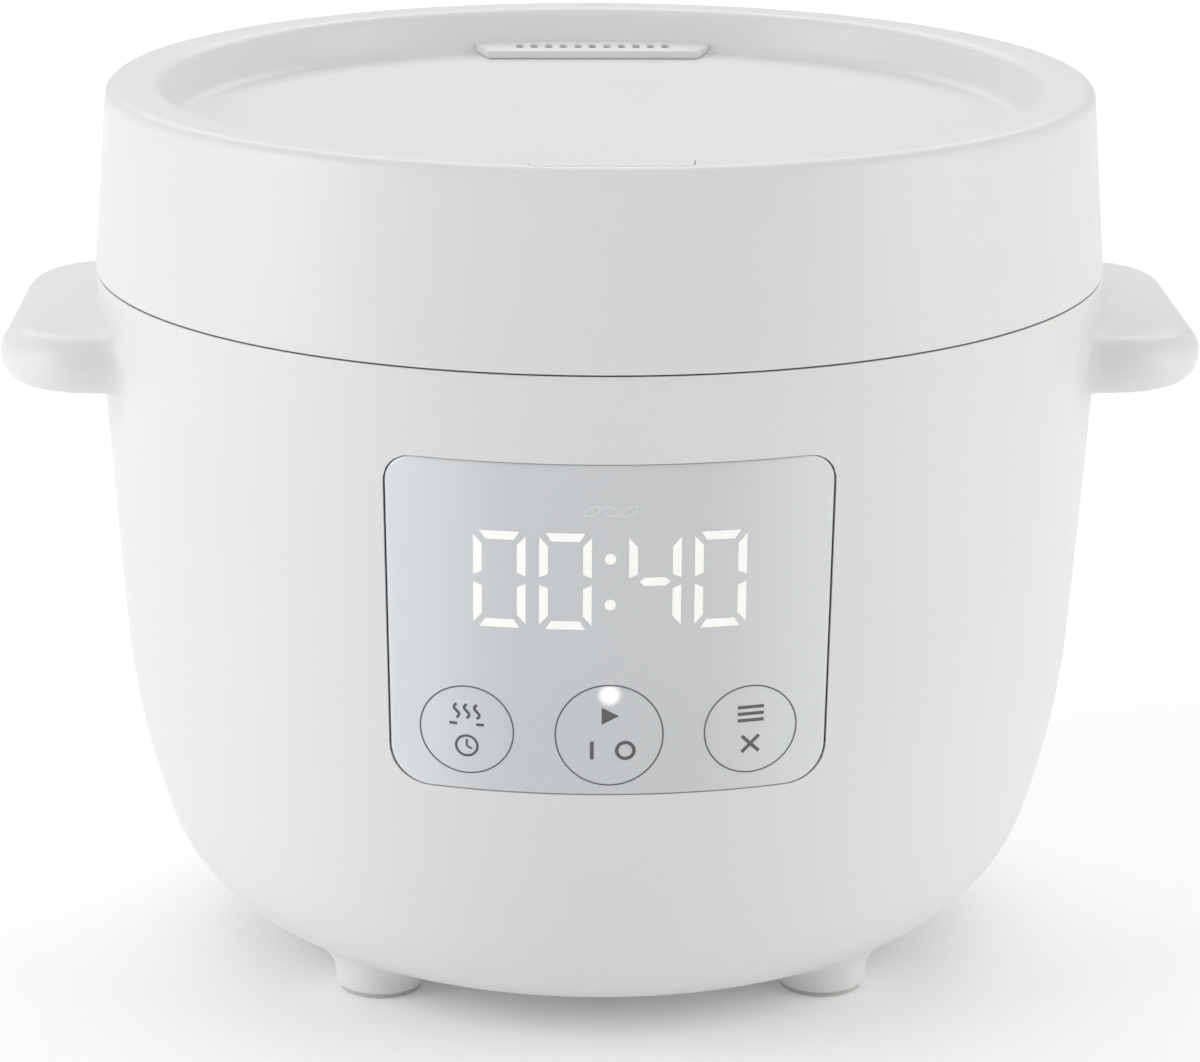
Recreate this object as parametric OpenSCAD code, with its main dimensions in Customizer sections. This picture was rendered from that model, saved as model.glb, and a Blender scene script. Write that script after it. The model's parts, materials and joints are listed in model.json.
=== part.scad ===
// Small round rice cooker with a hinged lid, a removable pot and a digital panel.
// Millimetres. +Z is up, the front faces -Y and the origin is on the ground at the pot's axis.

/* [Body] */
// Outer radius of the body at the lid seam
body_r = 108; // [100:1:112]
// Height of the top edge of the body
body_top_z = 148.6; // [146:0.2:149]
// Thickness of the moulded walls
wall = 2.6; // [2.2:0.1:3]
// Radius of the curve from the side into the base
base_curve_r = 35; // [32:1:36]

/* [Lid] */
// Height of the bottom edge of the lid
lid_bottom_z = 149.4; // [149.2:0.1:149.8]
// Height of the lid's rim
rim_z = 188.5; // [184:0.5:192]
// Depth of the dish in the lid
dish_depth = 9.1; // [8:0.1:10]

/* [Side handles] */
// Overall width across the two side handles
handle_span = 253.2; // [244:0.2:256]
// Width of a handle from front to back
handle_w = 86; // [60:1:90]
// Height of the top face of a handle
handle_top_z = 140.2; // [132:0.2:142]
// Thickness of a handle
handle_t = 12; // [9:0.5:13]

/* [Feet] */
// Distance from the centre of the body to each foot, along X and along Y
foot_xy = 47.2; // [44:0.2:48]
// Radius of a foot
foot_r = 9.6; // [8.5:0.1:10]

/* [Panel] */
// Half width of the panel at its top edge
panel_half_w = 44.2; // [40:0.1:46]
// Height of the panel's top edge
panel_top_z = 131.5; // [126:0.5:132]
// Height of the panel's bottom edge
panel_bottom_z = 62.6; // [60:0.1:66]
// Digits that the display shows
shown = [0, 0, 4, 0];
// Height of one display digit
digit_h = 20.3; // [14:0.1:21]
// Height of the key centres
key_z = 75.5; // [74:0.1:78]
// Distance from the middle key to each side key
key_pitch = 28; // [26:0.5:30]

/* [Pot] */
// Outer radius of the pot
pot_r = 82; // [78:0.5:82]
// Height of the pot's underside
pot_bottom_z = 58; // [58:0.5:64]
// Wall thickness of the pot
pot_wall = 1.8; // [1.2:0.1:2]

/* [Hinge and latch] */
// Distance of the hinge axis behind the body's axis
hinge_y = 105.5; // [105.3:0.1:105.7]
// Height of the hinge axis
hinge_z = 150; // [149.8:0.1:150.2]
// Radius of the hinge pin
hinge_pin_r = 2; // [1.5:0.1:2.2]

/* [Hidden] */
$fn = 96;

SHELL_WHITE = "#eceef0";
PART_GREY = "#c9cdd2";
STEEL = "#aeb4ba";
DARK = "#3a3d42";
SILICONE = "#dfe3e6";
BOARD_GREEN = "#2f6b46";

rim_edge_r = 4;
rim_inner_r = 95.5;
rim_fillet_r = 2.5;
dish_slope = 160;
dish_fillet_r = 3;
lid_draft = 4.5;
lid_wall = 2.4;
dish_r = 88;
floor_z = rim_z - dish_depth;
base_open_r = 52;
base_step_r = 59;
base_cover_t = 2.3;
foot_pad_t = 0.8;
screw_ring_r = 55;
collar_top_z = 148.8;
collar_r = 105.2;
recess_r = 90.5;
ledge_z = 145;
ledge_inner_r = 84.3;
liner_r = 85.2;
liner_floor_z = 40;
plate_r = 72;
plate_z = 50;
notch_half_w = 28.8;
knuckle_r = 4.8;
lug_inner_x = 13.4;
lug_outer_x = 28;
lens_t = 1.95;
digit_x = [-21.5, -8.7, 8.7, 21.5];
digit_w = 10.4;
digit_z = 107.8;
segment_t = 1.75;
light_z = 84;
board_y = -91.5;
board_t = 1.6;
power_z = 16;
socket_z = 26.5;
socket_w = 28.6;
socket_h = 20.6;
socket_face_y = 100.2;
vent_front_y = 76;
vent_z = floor_z + 2;
vent_pipe_y = 83;
steam_y = 70;
pivot_y = -98;
pivot_z = 163;
button_half_w = 15.75;
button_front_y = -101.8;
button_back_y = -92;
sensor_r = 14.5;

// An outline is a list of [radius, height, angle of the outward normal].
// bend() carries one on from q along an arc; a negative r bends it the other way.
function bend(q, r, a1, steps) = [for (i = [1:steps])
    let (a = q[2] + (a1 - q[2]) * i / steps)
    [q[0] + r * (cos(a) - cos(q[2])), q[1] + r * (sin(a) - sin(q[2])), a]];
function last(list) = list[len(list) - 1];
function flip(list) = [for (i = [len(list) - 1:-1:0]) list[i]];
function inset(path, w) = [for (q = path) [q[0] - w * cos(q[2]), q[1] - w * sin(q[2])]];
function above(points, z) = [for (p = points) if (p[1] > z) p];
function arc(c, r, a0, a1, steps) = [for (i = [0:steps])
    let (a = a0 + (a1 - a0) * i / steps) c + r * [cos(a), sin(a)]];

// Side of the body from the seam down to the base: nearly straight, then the belly, then the base curve
body_start = [body_r, body_top_z, -2.8];
body_side = concat([body_start], bend(body_start, 3333, -4.14, 3));
body_belly = concat(body_side, bend(last(body_side), 170, -18.4, 6));
body_path = concat(body_belly, bend(last(body_belly), base_curve_r, -90, 10));
base_z = last(body_path)[1];
step_z = base_z + base_cover_t + 0.1;

// Lid from its bottom edge, over the rim and down into the dish
lid_start = [body_r, lid_bottom_z, lid_draft];
lid_edge_z = rim_z - rim_edge_r * (1 - sin(lid_draft));
lid_edge = [body_r - (lid_edge_z - lid_bottom_z) * tan(lid_draft), lid_edge_z, lid_draft];
rim_outer = concat([lid_start, lid_edge], bend(lid_edge, rim_edge_r, 90, 6));
rim_path = concat(rim_outer, [[rim_inner_r, rim_z, 90]],
    bend([rim_inner_r, rim_z, 90], rim_fillet_r, dish_slope, 5));
slope_end_z = floor_z + dish_fillet_r * (1 - sin(dish_slope));
slope_end = [last(rim_path)[0] - (last(rim_path)[1] - slope_end_z) / tan(dish_slope - 90),
    slope_end_z, dish_slope];
dish_curve = bend(slope_end, -dish_fillet_r, 90, 5);
lid_path = concat(rim_path, [slope_end], dish_curve);

module slab_y(y0, y1) {
    rotate([90, 0, 0]) translate([0, 0, -y1]) linear_extrude(y1 - y0) children();
}
module slab_x(x0, x1) {
    rotate([90, 0, 90]) translate([0, 0, x0]) linear_extrude(x1 - x0) children();
}
module box(x0, x1, y0, y1, z0, z1) {
    translate([x0, y0, z0]) cube([x1 - x0, y1 - y0, z1 - z0]);
}
module disc(r, z0, z1) {
    translate([0, 0, z0]) cylinder(r = r, h = z1 - z0);
}
module ring(r0, r1, z0, z1) {
    difference() {
        disc(r1, z0, z1);
        disc(r0, z0 - 1, z1 + 1);
    }
}
module at_ring(r, angles, z) {
    for (a = angles) rotate([0, 0, a]) translate([r, 0, z]) children();
}
module pan_screw(shaft_r, length, head_r, head_h) {
    cylinder(r = shaft_r, h = length);
    translate([0, 0, -head_h]) difference() {
        cylinder(r = head_r, h = head_h);
        for (a = [0, 90]) rotate([0, 0, a])
            translate([-head_r * 0.6, -0.4, -1]) cube([head_r * 1.2, 0.8, 1 + head_h * 0.6]);
    }
}
// Round-wire helical spring that stands on z = 0
module coil(r, wire_r, turns, height) {
    steps = round(14 * turns);
    sides = 6;
    points = [for (i = [0:steps], j = [0:sides - 1])
        let (a = 360 * turns * i / steps, b = 360 * j / sides,
            z = wire_r + (height - 2 * wire_r) * i / steps)
        [(r + wire_r * cos(b)) * cos(a), (r + wire_r * cos(b)) * sin(a), z + wire_r * sin(b)]];
    walls = [for (i = [0:steps - 1], j = [0:sides - 1])
        let (k = (j + 1) % sides)
        [i * sides + j, (i + 1) * sides + j, (i + 1) * sides + k, i * sides + k]];
    caps = [[for (j = [0:sides - 1]) j], [for (j = [sides - 1:-1:0]) steps * sides + j]];
    polyhedron(points = points, faces = concat(walls, caps));
}

// --- Body -----------------------------------------------------------------

// Everything between two insets of the body's side
module body_skin(outset, depth) {
    rotate_extrude() polygon(concat(inset(body_belly, -outset), flip(inset(body_belly, depth))));
}
module body_solid(depth) {
    rotate_extrude() polygon(concat([[0, body_top_z]], inset(body_path, depth),
        [[0, base_z + depth]]));
}
function panel_outline(grow) =
    let (top = panel_half_w + grow, low = panel_half_w - 0.7 + grow, r1 = 5.5 + grow, r2 = 8 + grow,
        z1 = panel_top_z + grow, z0 = panel_bottom_z - grow)
    concat(arc([top - r1, z1 - r1], r1, 0, 90, 6), arc([r1 - top, z1 - r1], r1, 90, 180, 6),
        arc([r2 - low, z0 + r2], r2, 180, 270, 8), arc([low - r2, z0 + r2], r2, 270, 360, 8));

module handle_block() {
    half = handle_w / 2;
    reach = handle_span / 2;
    corner = 20;
    translate([0, 0, handle_top_z - handle_t]) linear_extrude(handle_t) polygon(concat(
        [[96, -half]], arc([reach - corner, corner - half], corner, -90, 0, 8),
        arc([reach - corner, half - corner], corner, 0, 90, 8), [[96, half]]));
}
module handle_recess() {
    half = handle_w / 2 - 4;
    reach = handle_span / 2 - 4;
    corner = 16;
    translate([0, 0, handle_top_z - handle_t - 1]) linear_extrude(4.8) polygon(concat(
        [[104, -half]], arc([reach - corner, corner - half], corner, -90, 0, 6),
        arc([reach - corner, half - corner], corner, 0, 90, 6), [[104, half]]));
}
// Puts its children at foot i: 0 and 1 on the left, 0 and 2 at the front
module at_foot(i, z) {
    x = i < 2 ? -1 : 1;
    y = i % 2 == 0 ? -1 : 1;
    translate([x * foot_xy, y * foot_xy, z]) children();
}
module hinge_lugs() {
    for (side = [-1, 1]) {
        x0 = side > 0 ? lug_inner_x : -lug_outer_x;
        slab_x(x0, x0 + lug_outer_x - lug_inner_x) polygon([
            [hinge_y - knuckle_r, hinge_z], [hinge_y - knuckle_r, 130], [106, 130],
            [hinge_y + knuckle_r, 144], [hinge_y + knuckle_r, hinge_z]]);
        translate([x0, hinge_y, hinge_z]) rotate([0, 90, 0])
            cylinder(r = knuckle_r, h = lug_outer_x - lug_inner_x);
    }
}
module body_shell() {
    color(SHELL_WHITE) difference() {
        union() {
            rotate_extrude() polygon(concat([for (q = body_path) [q[0], q[1]]],
                [[base_step_r, base_z], [base_step_r, step_z], [base_open_r, step_z],
                [base_open_r, step_z + wall]],
                flip(above(inset(body_path, wall), step_z + wall + 0.3))));
            difference() {
                slab_y(80, socket_face_y - 1.2) translate([-18, 12.5]) square([36, 28]);
                body_solid(wall - 0.01);
            }
            at_ring(98.5, [40, 140, 220, 320], 124) {
                cylinder(r = 4, h = 22.3);
                translate([0, -1.25, 0]) cube([6.4, 2.5, 22.3]);
            }
            at_ring(screw_ring_r, [0, 90, 180, 270], step_z) cylinder(r = 3.8, h = 10);
            hinge_lugs();
        }
        intersection() {
            body_skin(3, lens_t + 0.05);
            slab_y(-body_r - 5, -60) polygon(panel_outline(0));
        }
        slab_y(-body_r - 5, -60) polygon(panel_outline(-2.4));
        at_ring(98.5, [40, 140, 220, 320], 130) cylinder(r = 1.5, h = 20);
        at_ring(screw_ring_r, [0, 90, 180, 270], step_z - 1) cylinder(r = 1.5, h = 20);
        slab_y(60, 110) translate([-socket_w / 2 - 0.2, socket_z - socket_h / 2 - 0.2])
            square([socket_w + 0.4, socket_h + 0.4]);
        box(-lug_inner_x, lug_inner_x, 97, 112, 143.5, 160);
        translate([-40, hinge_y, hinge_z]) rotate([0, 90, 0]) cylinder(r = hinge_pin_r, h = 80);
    }
}
// Handle on the side of the body that a turns it to, cut to fit the body's curve
module handle(a) {
    color(SHELL_WHITE) rotate([0, 0, a]) difference() {
        handle_block();
        handle_recess();
        body_solid(0);
    }
}
module foot_post(i) {
    color(SHELL_WHITE) difference() {
        at_foot(i, foot_pad_t) cylinder(r = foot_r, h = 9.2);
        body_solid(0);
    }
}
module top_collar() {
    color(PART_GREY) difference() {
        rotate_extrude() polygon([
            [ledge_inner_r, ledge_z], [recess_r, ledge_z], [recess_r, collar_top_z],
            [collar_r, collar_top_z], [collar_r, collar_top_z - 2.4],
            [recess_r + 2.2, collar_top_z - 2.4], [recess_r + 2.2, ledge_z - 2.2],
            [88.6, ledge_z - 2.2], [88.6, 132], [86.6, 132], [86.6, ledge_z - 2.2],
            [ledge_inner_r, ledge_z - 2.2]]);
        box(-9, 9, -104.4, -95, 140, 152);
        box(-29.2, 29.2, 98.2, 112, 120, 160);
        at_ring(98.5, [40, 140, 220, 320], 140) cylinder(r = 1.7, h = 20);
    }
}
module collar_screws() {
    color(STEEL) at_ring(98.5, [40, 140, 220, 320], collar_top_z) mirror([0, 0, 1])
        pan_screw(1.5, 14, 2.9, 0.7);
}
module base_cover() {
    color(SHELL_WHITE) difference() {
        union() {
            disc(base_step_r - 0.2, base_z, base_z + base_cover_t);
            for (x = [-36, 36], y = [-24, 24]) translate([x, y, base_z])
                cylinder(r = 3.2, h = power_z - base_z);
        }
        at_ring(screw_ring_r, [0, 90, 180, 270], base_z - 1) {
            cylinder(r = 1.7, h = 10);
            cylinder(r = 3.4, h = 2.3);
        }
        for (row = [-5:5], side = [-1, 1]) if (abs(row) > 2)
            box(side * 20 - 11, side * 20 + 11, row * 6 - 1.2, row * 6 + 1.2, base_z - 1, 12);
    }
}
module base_screws() {
    color(STEEL) at_ring(screw_ring_r, [0, 90, 180, 270], base_z + 1.3)
        pan_screw(1.5, 9, 3.1, 1.1);
}
module foot_pad(i) {
    color(PART_GREY) at_foot(i, 0) cylinder(r = foot_r - 1, h = foot_pad_t);
}

// --- Heating --------------------------------------------------------------

module heat_liner() {
    color(STEEL) difference() {
        union() {
            ring(liner_r - 0.6, liner_r, liner_floor_z, ledge_z - 2.8);
            disc(liner_r, liner_floor_z, liner_floor_z + 0.6);
            ring(liner_r - 0.6, 86.4, ledge_z - 2.8, ledge_z - 2.2);
        }
        disc(8, liner_floor_z - 1, liner_floor_z + 2);
        for (y = [-8, 8]) translate([50, y, liner_floor_z - 1]) cylinder(r = 4.5, h = 3);
    }
}
module heating_plate() {
    color(STEEL) difference() {
        union() {
            disc(plate_r - 16, plate_z, pot_bottom_z);
            rotate_extrude() polygon([[plate_r - 17, plate_z + 2], [plate_r, plate_z + 5],
                [plate_r, pot_bottom_z - 1], [plate_r - 1, pot_bottom_z], [plate_r - 17, pot_bottom_z]]);
        }
        disc(17, plate_z - 1, pot_bottom_z + 1);
        rotate_extrude() translate([50, plate_z]) circle(r = 3.3);
        ring(38, 40, pot_bottom_z - 0.5, pot_bottom_z + 1);
    }
}
module heater_tube() {
    color(DARK) {
        rotate([0, 0, 9.2]) rotate_extrude(angle = 341.6) translate([50, plate_z]) circle(r = 3.2);
        for (y = [-8, 8]) translate([49.36, y, 33]) cylinder(r = 2.4, h = plate_z - 33);
    }
}
module plate_posts() {
    color(STEEL) at_ring(64, [30, 150, 270], liner_floor_z + 0.6)
        cylinder(r = 3.5, h = plate_z + 2.3 - liner_floor_z);
}
module heater_leads() {
    color("#b33a2e") for (y = [-8, 8]) {
        translate([49.36, y, 22]) cylinder(r = 1.2, h = 11);
        translate([33, y, 22]) rotate([0, 90, 0]) cylinder(r = 1.2, h = 16.36);
        translate([33, y, 19.5]) cylinder(r = 1.2, h = 3.7);
    }
}
module sensor_holder() {
    color(STEEL) {
        ring(15.3, 16.3, liner_floor_z + 0.6, plate_z + 4);
        ring(9, 16, liner_floor_z + 0.6, liner_floor_z + 1.6);
    }
}
module sensor_spring() {
    color(DARK) translate([0, 0, liner_floor_z + 1.7]) coil(12, 0.6, 4, 10.8);
}
module sensor_cap() {
    color("#d5d9dd") difference() {
        rotate_extrude() polygon([[0, pot_bottom_z - 0.3], [sensor_r - 1, pot_bottom_z - 0.3],
            [sensor_r, pot_bottom_z - 1.3], [sensor_r, 48], [sensor_r - 1, 48],
            [sensor_r - 1, pot_bottom_z - 2], [0, pot_bottom_z - 2]]);
    }
}
module thermal_fuse() {
    color("#d9c9a0") {
        translate([-34, 0, plate_z - 2.4]) rotate([90, 0, 0])
            cylinder(r = 2.2, h = 14, center = true);
        translate([-34, 0, plate_z - 2.4]) rotate([90, 0, 0])
            cylinder(r = 0.5, h = 30, center = true);
    }
}
// Round-bottomed pot with a flat flange
module inner_pot() {
    flange_z = ledge_z + 0.2;
    corner = 24;
    flat = pot_r - corner;
    inner = corner - pot_wall;
    color("#8d9298") rotate_extrude() polygon(concat(
        [[0, pot_bottom_z]], arc([flat, pot_bottom_z + corner], corner, 270, 360, 10),
        [[pot_r, flange_z], [89.4, flange_z], [89.4, flange_z + 1.6], [pot_r + 0.6, flange_z + 1.6]],
        arc([pot_r - pot_wall + 2.4, flange_z - 0.8], 2.4, 90, 180, 4),
        flip(arc([flat, pot_bottom_z + corner], inner, 270, 360, 10)),
        [[0, pot_bottom_z + pot_wall]]));
}

// --- Control panel --------------------------------------------------------

// Segments that are lit for each number: a is the top one, b to f run clockwise and g is the middle one
LIT = ["abcdef", "bc", "abged", "abgcd", "fgbc", "afgcd", "afgedc", "abc", "abcdefg", "abcdfg"];

function is_lit(value, letter) = len(search(letter, LIT[value])) > 0;

// Upright segment on the side sx (-1 left, 1 right), in the half sz (-1 lower, 1 upper)
module upright_segment(sx, sz, grow) {
    outer_x = digit_w / 2 + grow;
    inner_x = digit_w / 2 - segment_t - grow;
    end = digit_h / 2 - 0.85 + grow;
    polygon([for (q = [[outer_x, 0.75 - grow], [outer_x, end], [inner_x, end - 1.9],
        [inner_x, 1.5 - grow]]) [sx * q[0], sz * q[1]]]);
}
// Level segment at the top (sz 1) or the bottom (sz -1)
module level_segment(sz, grow) {
    outer_z = digit_h / 2 + grow;
    inner_z = digit_h / 2 - segment_t - grow;
    half = digit_w / 2 - 1.25 + grow;
    polygon([for (q = [[-half, outer_z], [half, outer_z], [half - 1.1, inner_z],
        [1.1 - half, inner_z]]) [q[0], sz * q[1]]]);
}
module middle_segment(grow) {
    half = digit_w / 2 - 2.1 + grow;
    h = segment_t / 2 + grow;
    polygon([[-half, 0], [1 - half, h], [half - 1, h], [half, 0], [half - 1, -h], [1 - half, -h]]);
}
module digit_shape(value, grow) {
    if (is_lit(value, "a")) level_segment(1, grow);
    if (is_lit(value, "b")) upright_segment(1, 1, grow);
    if (is_lit(value, "c")) upright_segment(1, -1, grow);
    if (is_lit(value, "d")) level_segment(-1, grow);
    if (is_lit(value, "e")) upright_segment(-1, -1, grow);
    if (is_lit(value, "f")) upright_segment(-1, 1, grow);
    if (is_lit(value, "g")) middle_segment(grow);
}
module display_shapes(grow) {
    for (i = [0:3]) translate([digit_x[i], digit_z]) digit_shape(shown[i], grow);
    for (z = [-4.7, 4.7]) translate([0, digit_z + z]) circle(r = 1.1 + grow);
}
module control_panel() {
    color("#cdd1d6") difference() {
        intersection() {
            body_skin(0, lens_t);
            slab_y(-body_r - 5, -60) polygon(panel_outline(-0.35));
        }
        slab_y(-body_r - 5, -60) display_shapes(0.05);
        slab_y(-body_r - 5, -60) translate([0, light_z]) circle(r = 1.25);
    }
}
module lit_segments() {
    color("#fff4dc") intersection() {
        body_skin(-0.02, lens_t);
        slab_y(-body_r - 5, -60) display_shapes(0);
    }
}
module status_light() {
    color("#ffffff") intersection() {
        body_skin(-0.02, lens_t + 6);
        slab_y(-body_r - 5, -60) translate([0, light_z]) circle(r = 1.2);
    }
}
module display_module() {
    color(DARK) box(-26, 26, -99.2, board_y, digit_z - 12, digit_z + 12);
}
module control_board() {
    color(BOARD_GREEN) difference() {
        box(-40, 40, board_y, board_y + board_t, 66, 126);
        for (x = [-36, 36], z = [70, 122]) translate([x, board_y - 1, z]) rotate([-90, 0, 0])
            cylinder(r = 1.6, h = 4);
    }
}
module control_chip() {
    color(DARK) box(-30, -18, board_y + board_t, board_y + board_t + 1.4, 84, 96);
}
module buzzer() {
    color(DARK) translate([30, board_y, 92]) rotate([90, 0, 0]) cylinder(r = 4.5, h = 3.4);
}
// Conductive spring that carries a key's touch area to the board
module touch_spring(i) {
    color(STEEL) translate([(i - 1) * key_pitch, board_y, key_z]) rotate([90, 0, 0])
        difference() {
            cylinder(r = 4, h = i == 1 ? 8.4 : 5);
            translate([0, 0, -1]) cylinder(r = 2.6, h = 20);
        }
}
module ribbon_cable() {
    color("#8f959c") slab_x(-10, 10) polygon([[-34, 24], [-87.6, 24], [-87.6, 72], [-89.9, 72],
        [-89.9, 71.2], [-88.4, 71.2], [-88.4, 23.2], [-34.8, 23.2], [-34.8, 17.6], [-34, 17.6]]);
}

// --- Power ----------------------------------------------------------------

module power_board() {
    color(BOARD_GREEN) box(-40, 40, -37, 28, power_z, power_z + board_t);
}
module relay() {
    color("#2f5f9e") box(6, 26, -30, -14.5, power_z + board_t, power_z + board_t + 15.5);
}
module transformer() {
    color("#c9a63c") {
        box(-30, -8, -26, -4, power_z + board_t, power_z + board_t + 16);
        box(-33, -5, -20, -10, power_z + board_t + 3, power_z + board_t + 13);
    }
}
module capacitor() {
    color(DARK) translate([-20, 14, power_z + board_t]) cylinder(r = 6.3, h = 18);
}
module inlet_socket() {
    color(DARK) difference() {
        union() {
            slab_y(76, socket_face_y - 1.2) translate([-socket_w / 2, socket_z - socket_h / 2])
                square([socket_w, socket_h]);
            slab_y(socket_face_y - 1.2, socket_face_y)
                translate([-socket_w / 2 - 2.2, socket_z - socket_h / 2 - 2.2])
                square([socket_w + 4.4, socket_h + 4.4]);
        }
        slab_y(80, 110) polygon([[-12.2, socket_z + 8.1], [-12.2, socket_z - 3.4],
            [-7.6, socket_z - 8.1], [7.6, socket_z - 8.1], [12.2, socket_z - 3.4],
            [12.2, socket_z + 8.1]]);
        for (x = [-7, 0, 7]) slab_y(70, 90)
            translate([x - 1.05, socket_z + (x == 0 ? -3 : 1) - 2.05]) square([2.1, 4.1]);
    }
}
module inlet_pins() {
    color(STEEL) for (x = [-7, 0, 7]) slab_y(70, 92)
        translate([x - 1, socket_z + (x == 0 ? -3 : 1) - 2]) square([2, 4]);
}

// --- Hinge and striker ----------------------------------------------------

module hinge_pin() {
    color(STEEL) translate([-lug_outer_x, hinge_y, hinge_z]) rotate([0, 90, 0])
        cylinder(r = hinge_pin_r, h = 2 * lug_outer_x);
}
// Torsion springs between the lugs and the lid's knuckle
module hinge_springs() {
    color(DARK) for (x = [-13.2, 10.6]) translate([x, hinge_y, hinge_z]) rotate([0, 90, 0])
        difference() {
            cylinder(r = 3.4, h = 2.6);
            translate([0, 0, -1]) cylinder(r = hinge_pin_r + 0.2, h = 5);
        }
}
module latch_striker() {
    color(STEEL) difference() {
        box(-14, 14, -103, -93.4, 144.6, 146.3);
        box(-8, 8, -110, -95, 140, 150);
    }
}

// --- Lid ------------------------------------------------------------------

module lid_solid() {
    rotate_extrude() polygon(concat([[0, lid_bottom_z]], [for (q = lid_path) [q[0], q[1]]],
        [[0, floor_z]]));
}
module vent_outline() {
    half = 24.3;
    polygon([[-half, vent_front_y], [half, vent_front_y], [half + 3.8, 94], [-half - 3.8, 94]]);
}
module lid_shell() {
    color(SHELL_WHITE) difference() {
        union() {
            rotate_extrude() polygon(concat([for (q = lid_path) [q[0], q[1]]],
                [[dish_r, floor_z], [dish_r, floor_z - lid_wall]],
                flip(inset(lid_path, lid_wall))));
            intersection() {
                lid_solid();
                union() {
                    box(-31.4, 31.4, 94.6, 106, lid_bottom_z, 164);
                    box(-button_half_w - 2, button_half_w + 2, -104.2, -89.8, 172.5, rim_z);
                    at_ring(96, [35, 145, 215, 325], 152.5) cylinder(r = 3.8, h = 32);
                }
            }
            translate([-10.4, hinge_y, hinge_z]) rotate([0, 90, 0])
                cylinder(r = knuckle_r, h = 20.8);
            box(-10.4, 10.4, 95, hinge_y - 1.5, 150.6, 154.4);
        }
        difference() {
            box(-notch_half_w, notch_half_w, 97, 115, 140, 161.5);
            translate([-10.4, hinge_y, hinge_z]) rotate([0, 90, 0])
                cylinder(r = knuckle_r, h = 20.8);
            box(-10.4, 10.4, 95, hinge_y - 1.5, 150.6, 154.4);
        }
        translate([-20, hinge_y, hinge_z]) rotate([0, 90, 0])
            cylinder(r = hinge_pin_r + 0.05, h = 40);
        box(-button_half_w - 0.35, button_half_w + 0.35, button_front_y - 0.35,
            button_back_y + 0.35, 160, 200);
        at_ring(96, [35, 145, 215, 325], 150) cylinder(r = 1.5, h = 20);
    }
}
module lid_dish() {
    color(SHELL_WHITE) difference() {
        union() {
            disc(dish_r, floor_z - lid_wall, floor_z);
            translate([0, vent_pipe_y, 166.5]) cylinder(r = 6.4, h = floor_z - lid_wall - 166.5);
        }
        translate([0, vent_pipe_y, 140]) cylinder(r = 4.6, h = 60);
    }
}
module lid_base() {
    color(PART_GREY) difference() {
        union() {
            disc(104.4, 150, 152.4);
            disc(7, 149.2, 152.4);
        }
        disc(3.6, 140, 160);
        translate([0, steam_y, 140]) cylinder(r = 9.3, h = 20);
        at_ring(96, [35, 145, 215, 325], 148) {
            cylinder(r = 1.7, h = 10);
            cylinder(r = 3.3, h = 3.2);
        }
        box(-notch_half_w - 2.8, notch_half_w + 2.8, 94.2, 115, 140, 160);
        box(-9, 9, -104.4, -93.6, 140, 160);
    }
}
module lid_screws() {
    color(STEEL) at_ring(96, [35, 145, 215, 325], 151.2) pan_screw(1.5, 12, 3, 1.1);
}
module inner_lid_plate() {
    color("#d5d9dd") difference() {
        disc(84.2, 147.9, 148.9);
        translate([0, steam_y, 140]) cylinder(r = 5, h = 20);
        disc(3.6, 140, 160);
    }
}
module lid_gasket() {
    color(SILICONE) rotate_extrude() polygon([[82, 147.1], [87.6, 147.1], [88.2, 147.8],
        [88.2, 149.9], [82, 149.9], [82, 149], [84.3, 149], [84.3, 147.8], [82, 147.8]]);
}
module plate_grommet() {
    color(SILICONE) rotate_extrude() polygon([[0, 145.6], [5.4, 145.6], [6.2, 146.4],
        [6.2, 147.8], [3.5, 147.8], [3.5, 152.5], [4.6, 152.5], [4.2, 154], [0, 155]]);
}
module steam_cup() {
    color(PART_GREY) difference() {
        union() {
            translate([0, steam_y, 149.1]) cylinder(r = 9.2, h = 10);
            box(-9.2, 9.2, 60.8, 90.2, 157, 166.3);
        }
        translate([0, steam_y, 148]) cylinder(r = 7.6, h = 12);
        box(-7.6, 7.6, 62.4, 88.6, 158.6, 164.7);
        translate([0, vent_pipe_y, 160]) cylinder(r = 4.4, h = 10);
    }
}
module steam_seal() {
    color(SILICONE) translate([0, steam_y, 0]) ring(5, 9.2, 148.9, 149.1);
}
module vent_cover() {
    color(SHELL_WHITE) difference() {
        union() {
            intersection() {
                translate([0, 0, floor_z]) linear_extrude(3) vent_outline();
                rotate_extrude() polygon(concat([[0, vent_z]], [[slope_end[0] - 0.3, vent_z]],
                    inset(dish_curve, -0.12), [[0, floor_z + 0.12]]));
            }
            translate([0, vent_pipe_y, floor_z - 5]) cylinder(r = 4.3, h = 6);
        }
        translate([0, vent_pipe_y, floor_z - 6]) cylinder(r = 3, h = 6.8);
        for (i = [-5:5]) box(i * 3.4 - 0.8, i * 3.4 + 0.8, 80.5, 86.5, floor_z - 8, vent_z + 1);
    }
}

// --- Release latch --------------------------------------------------------

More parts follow.
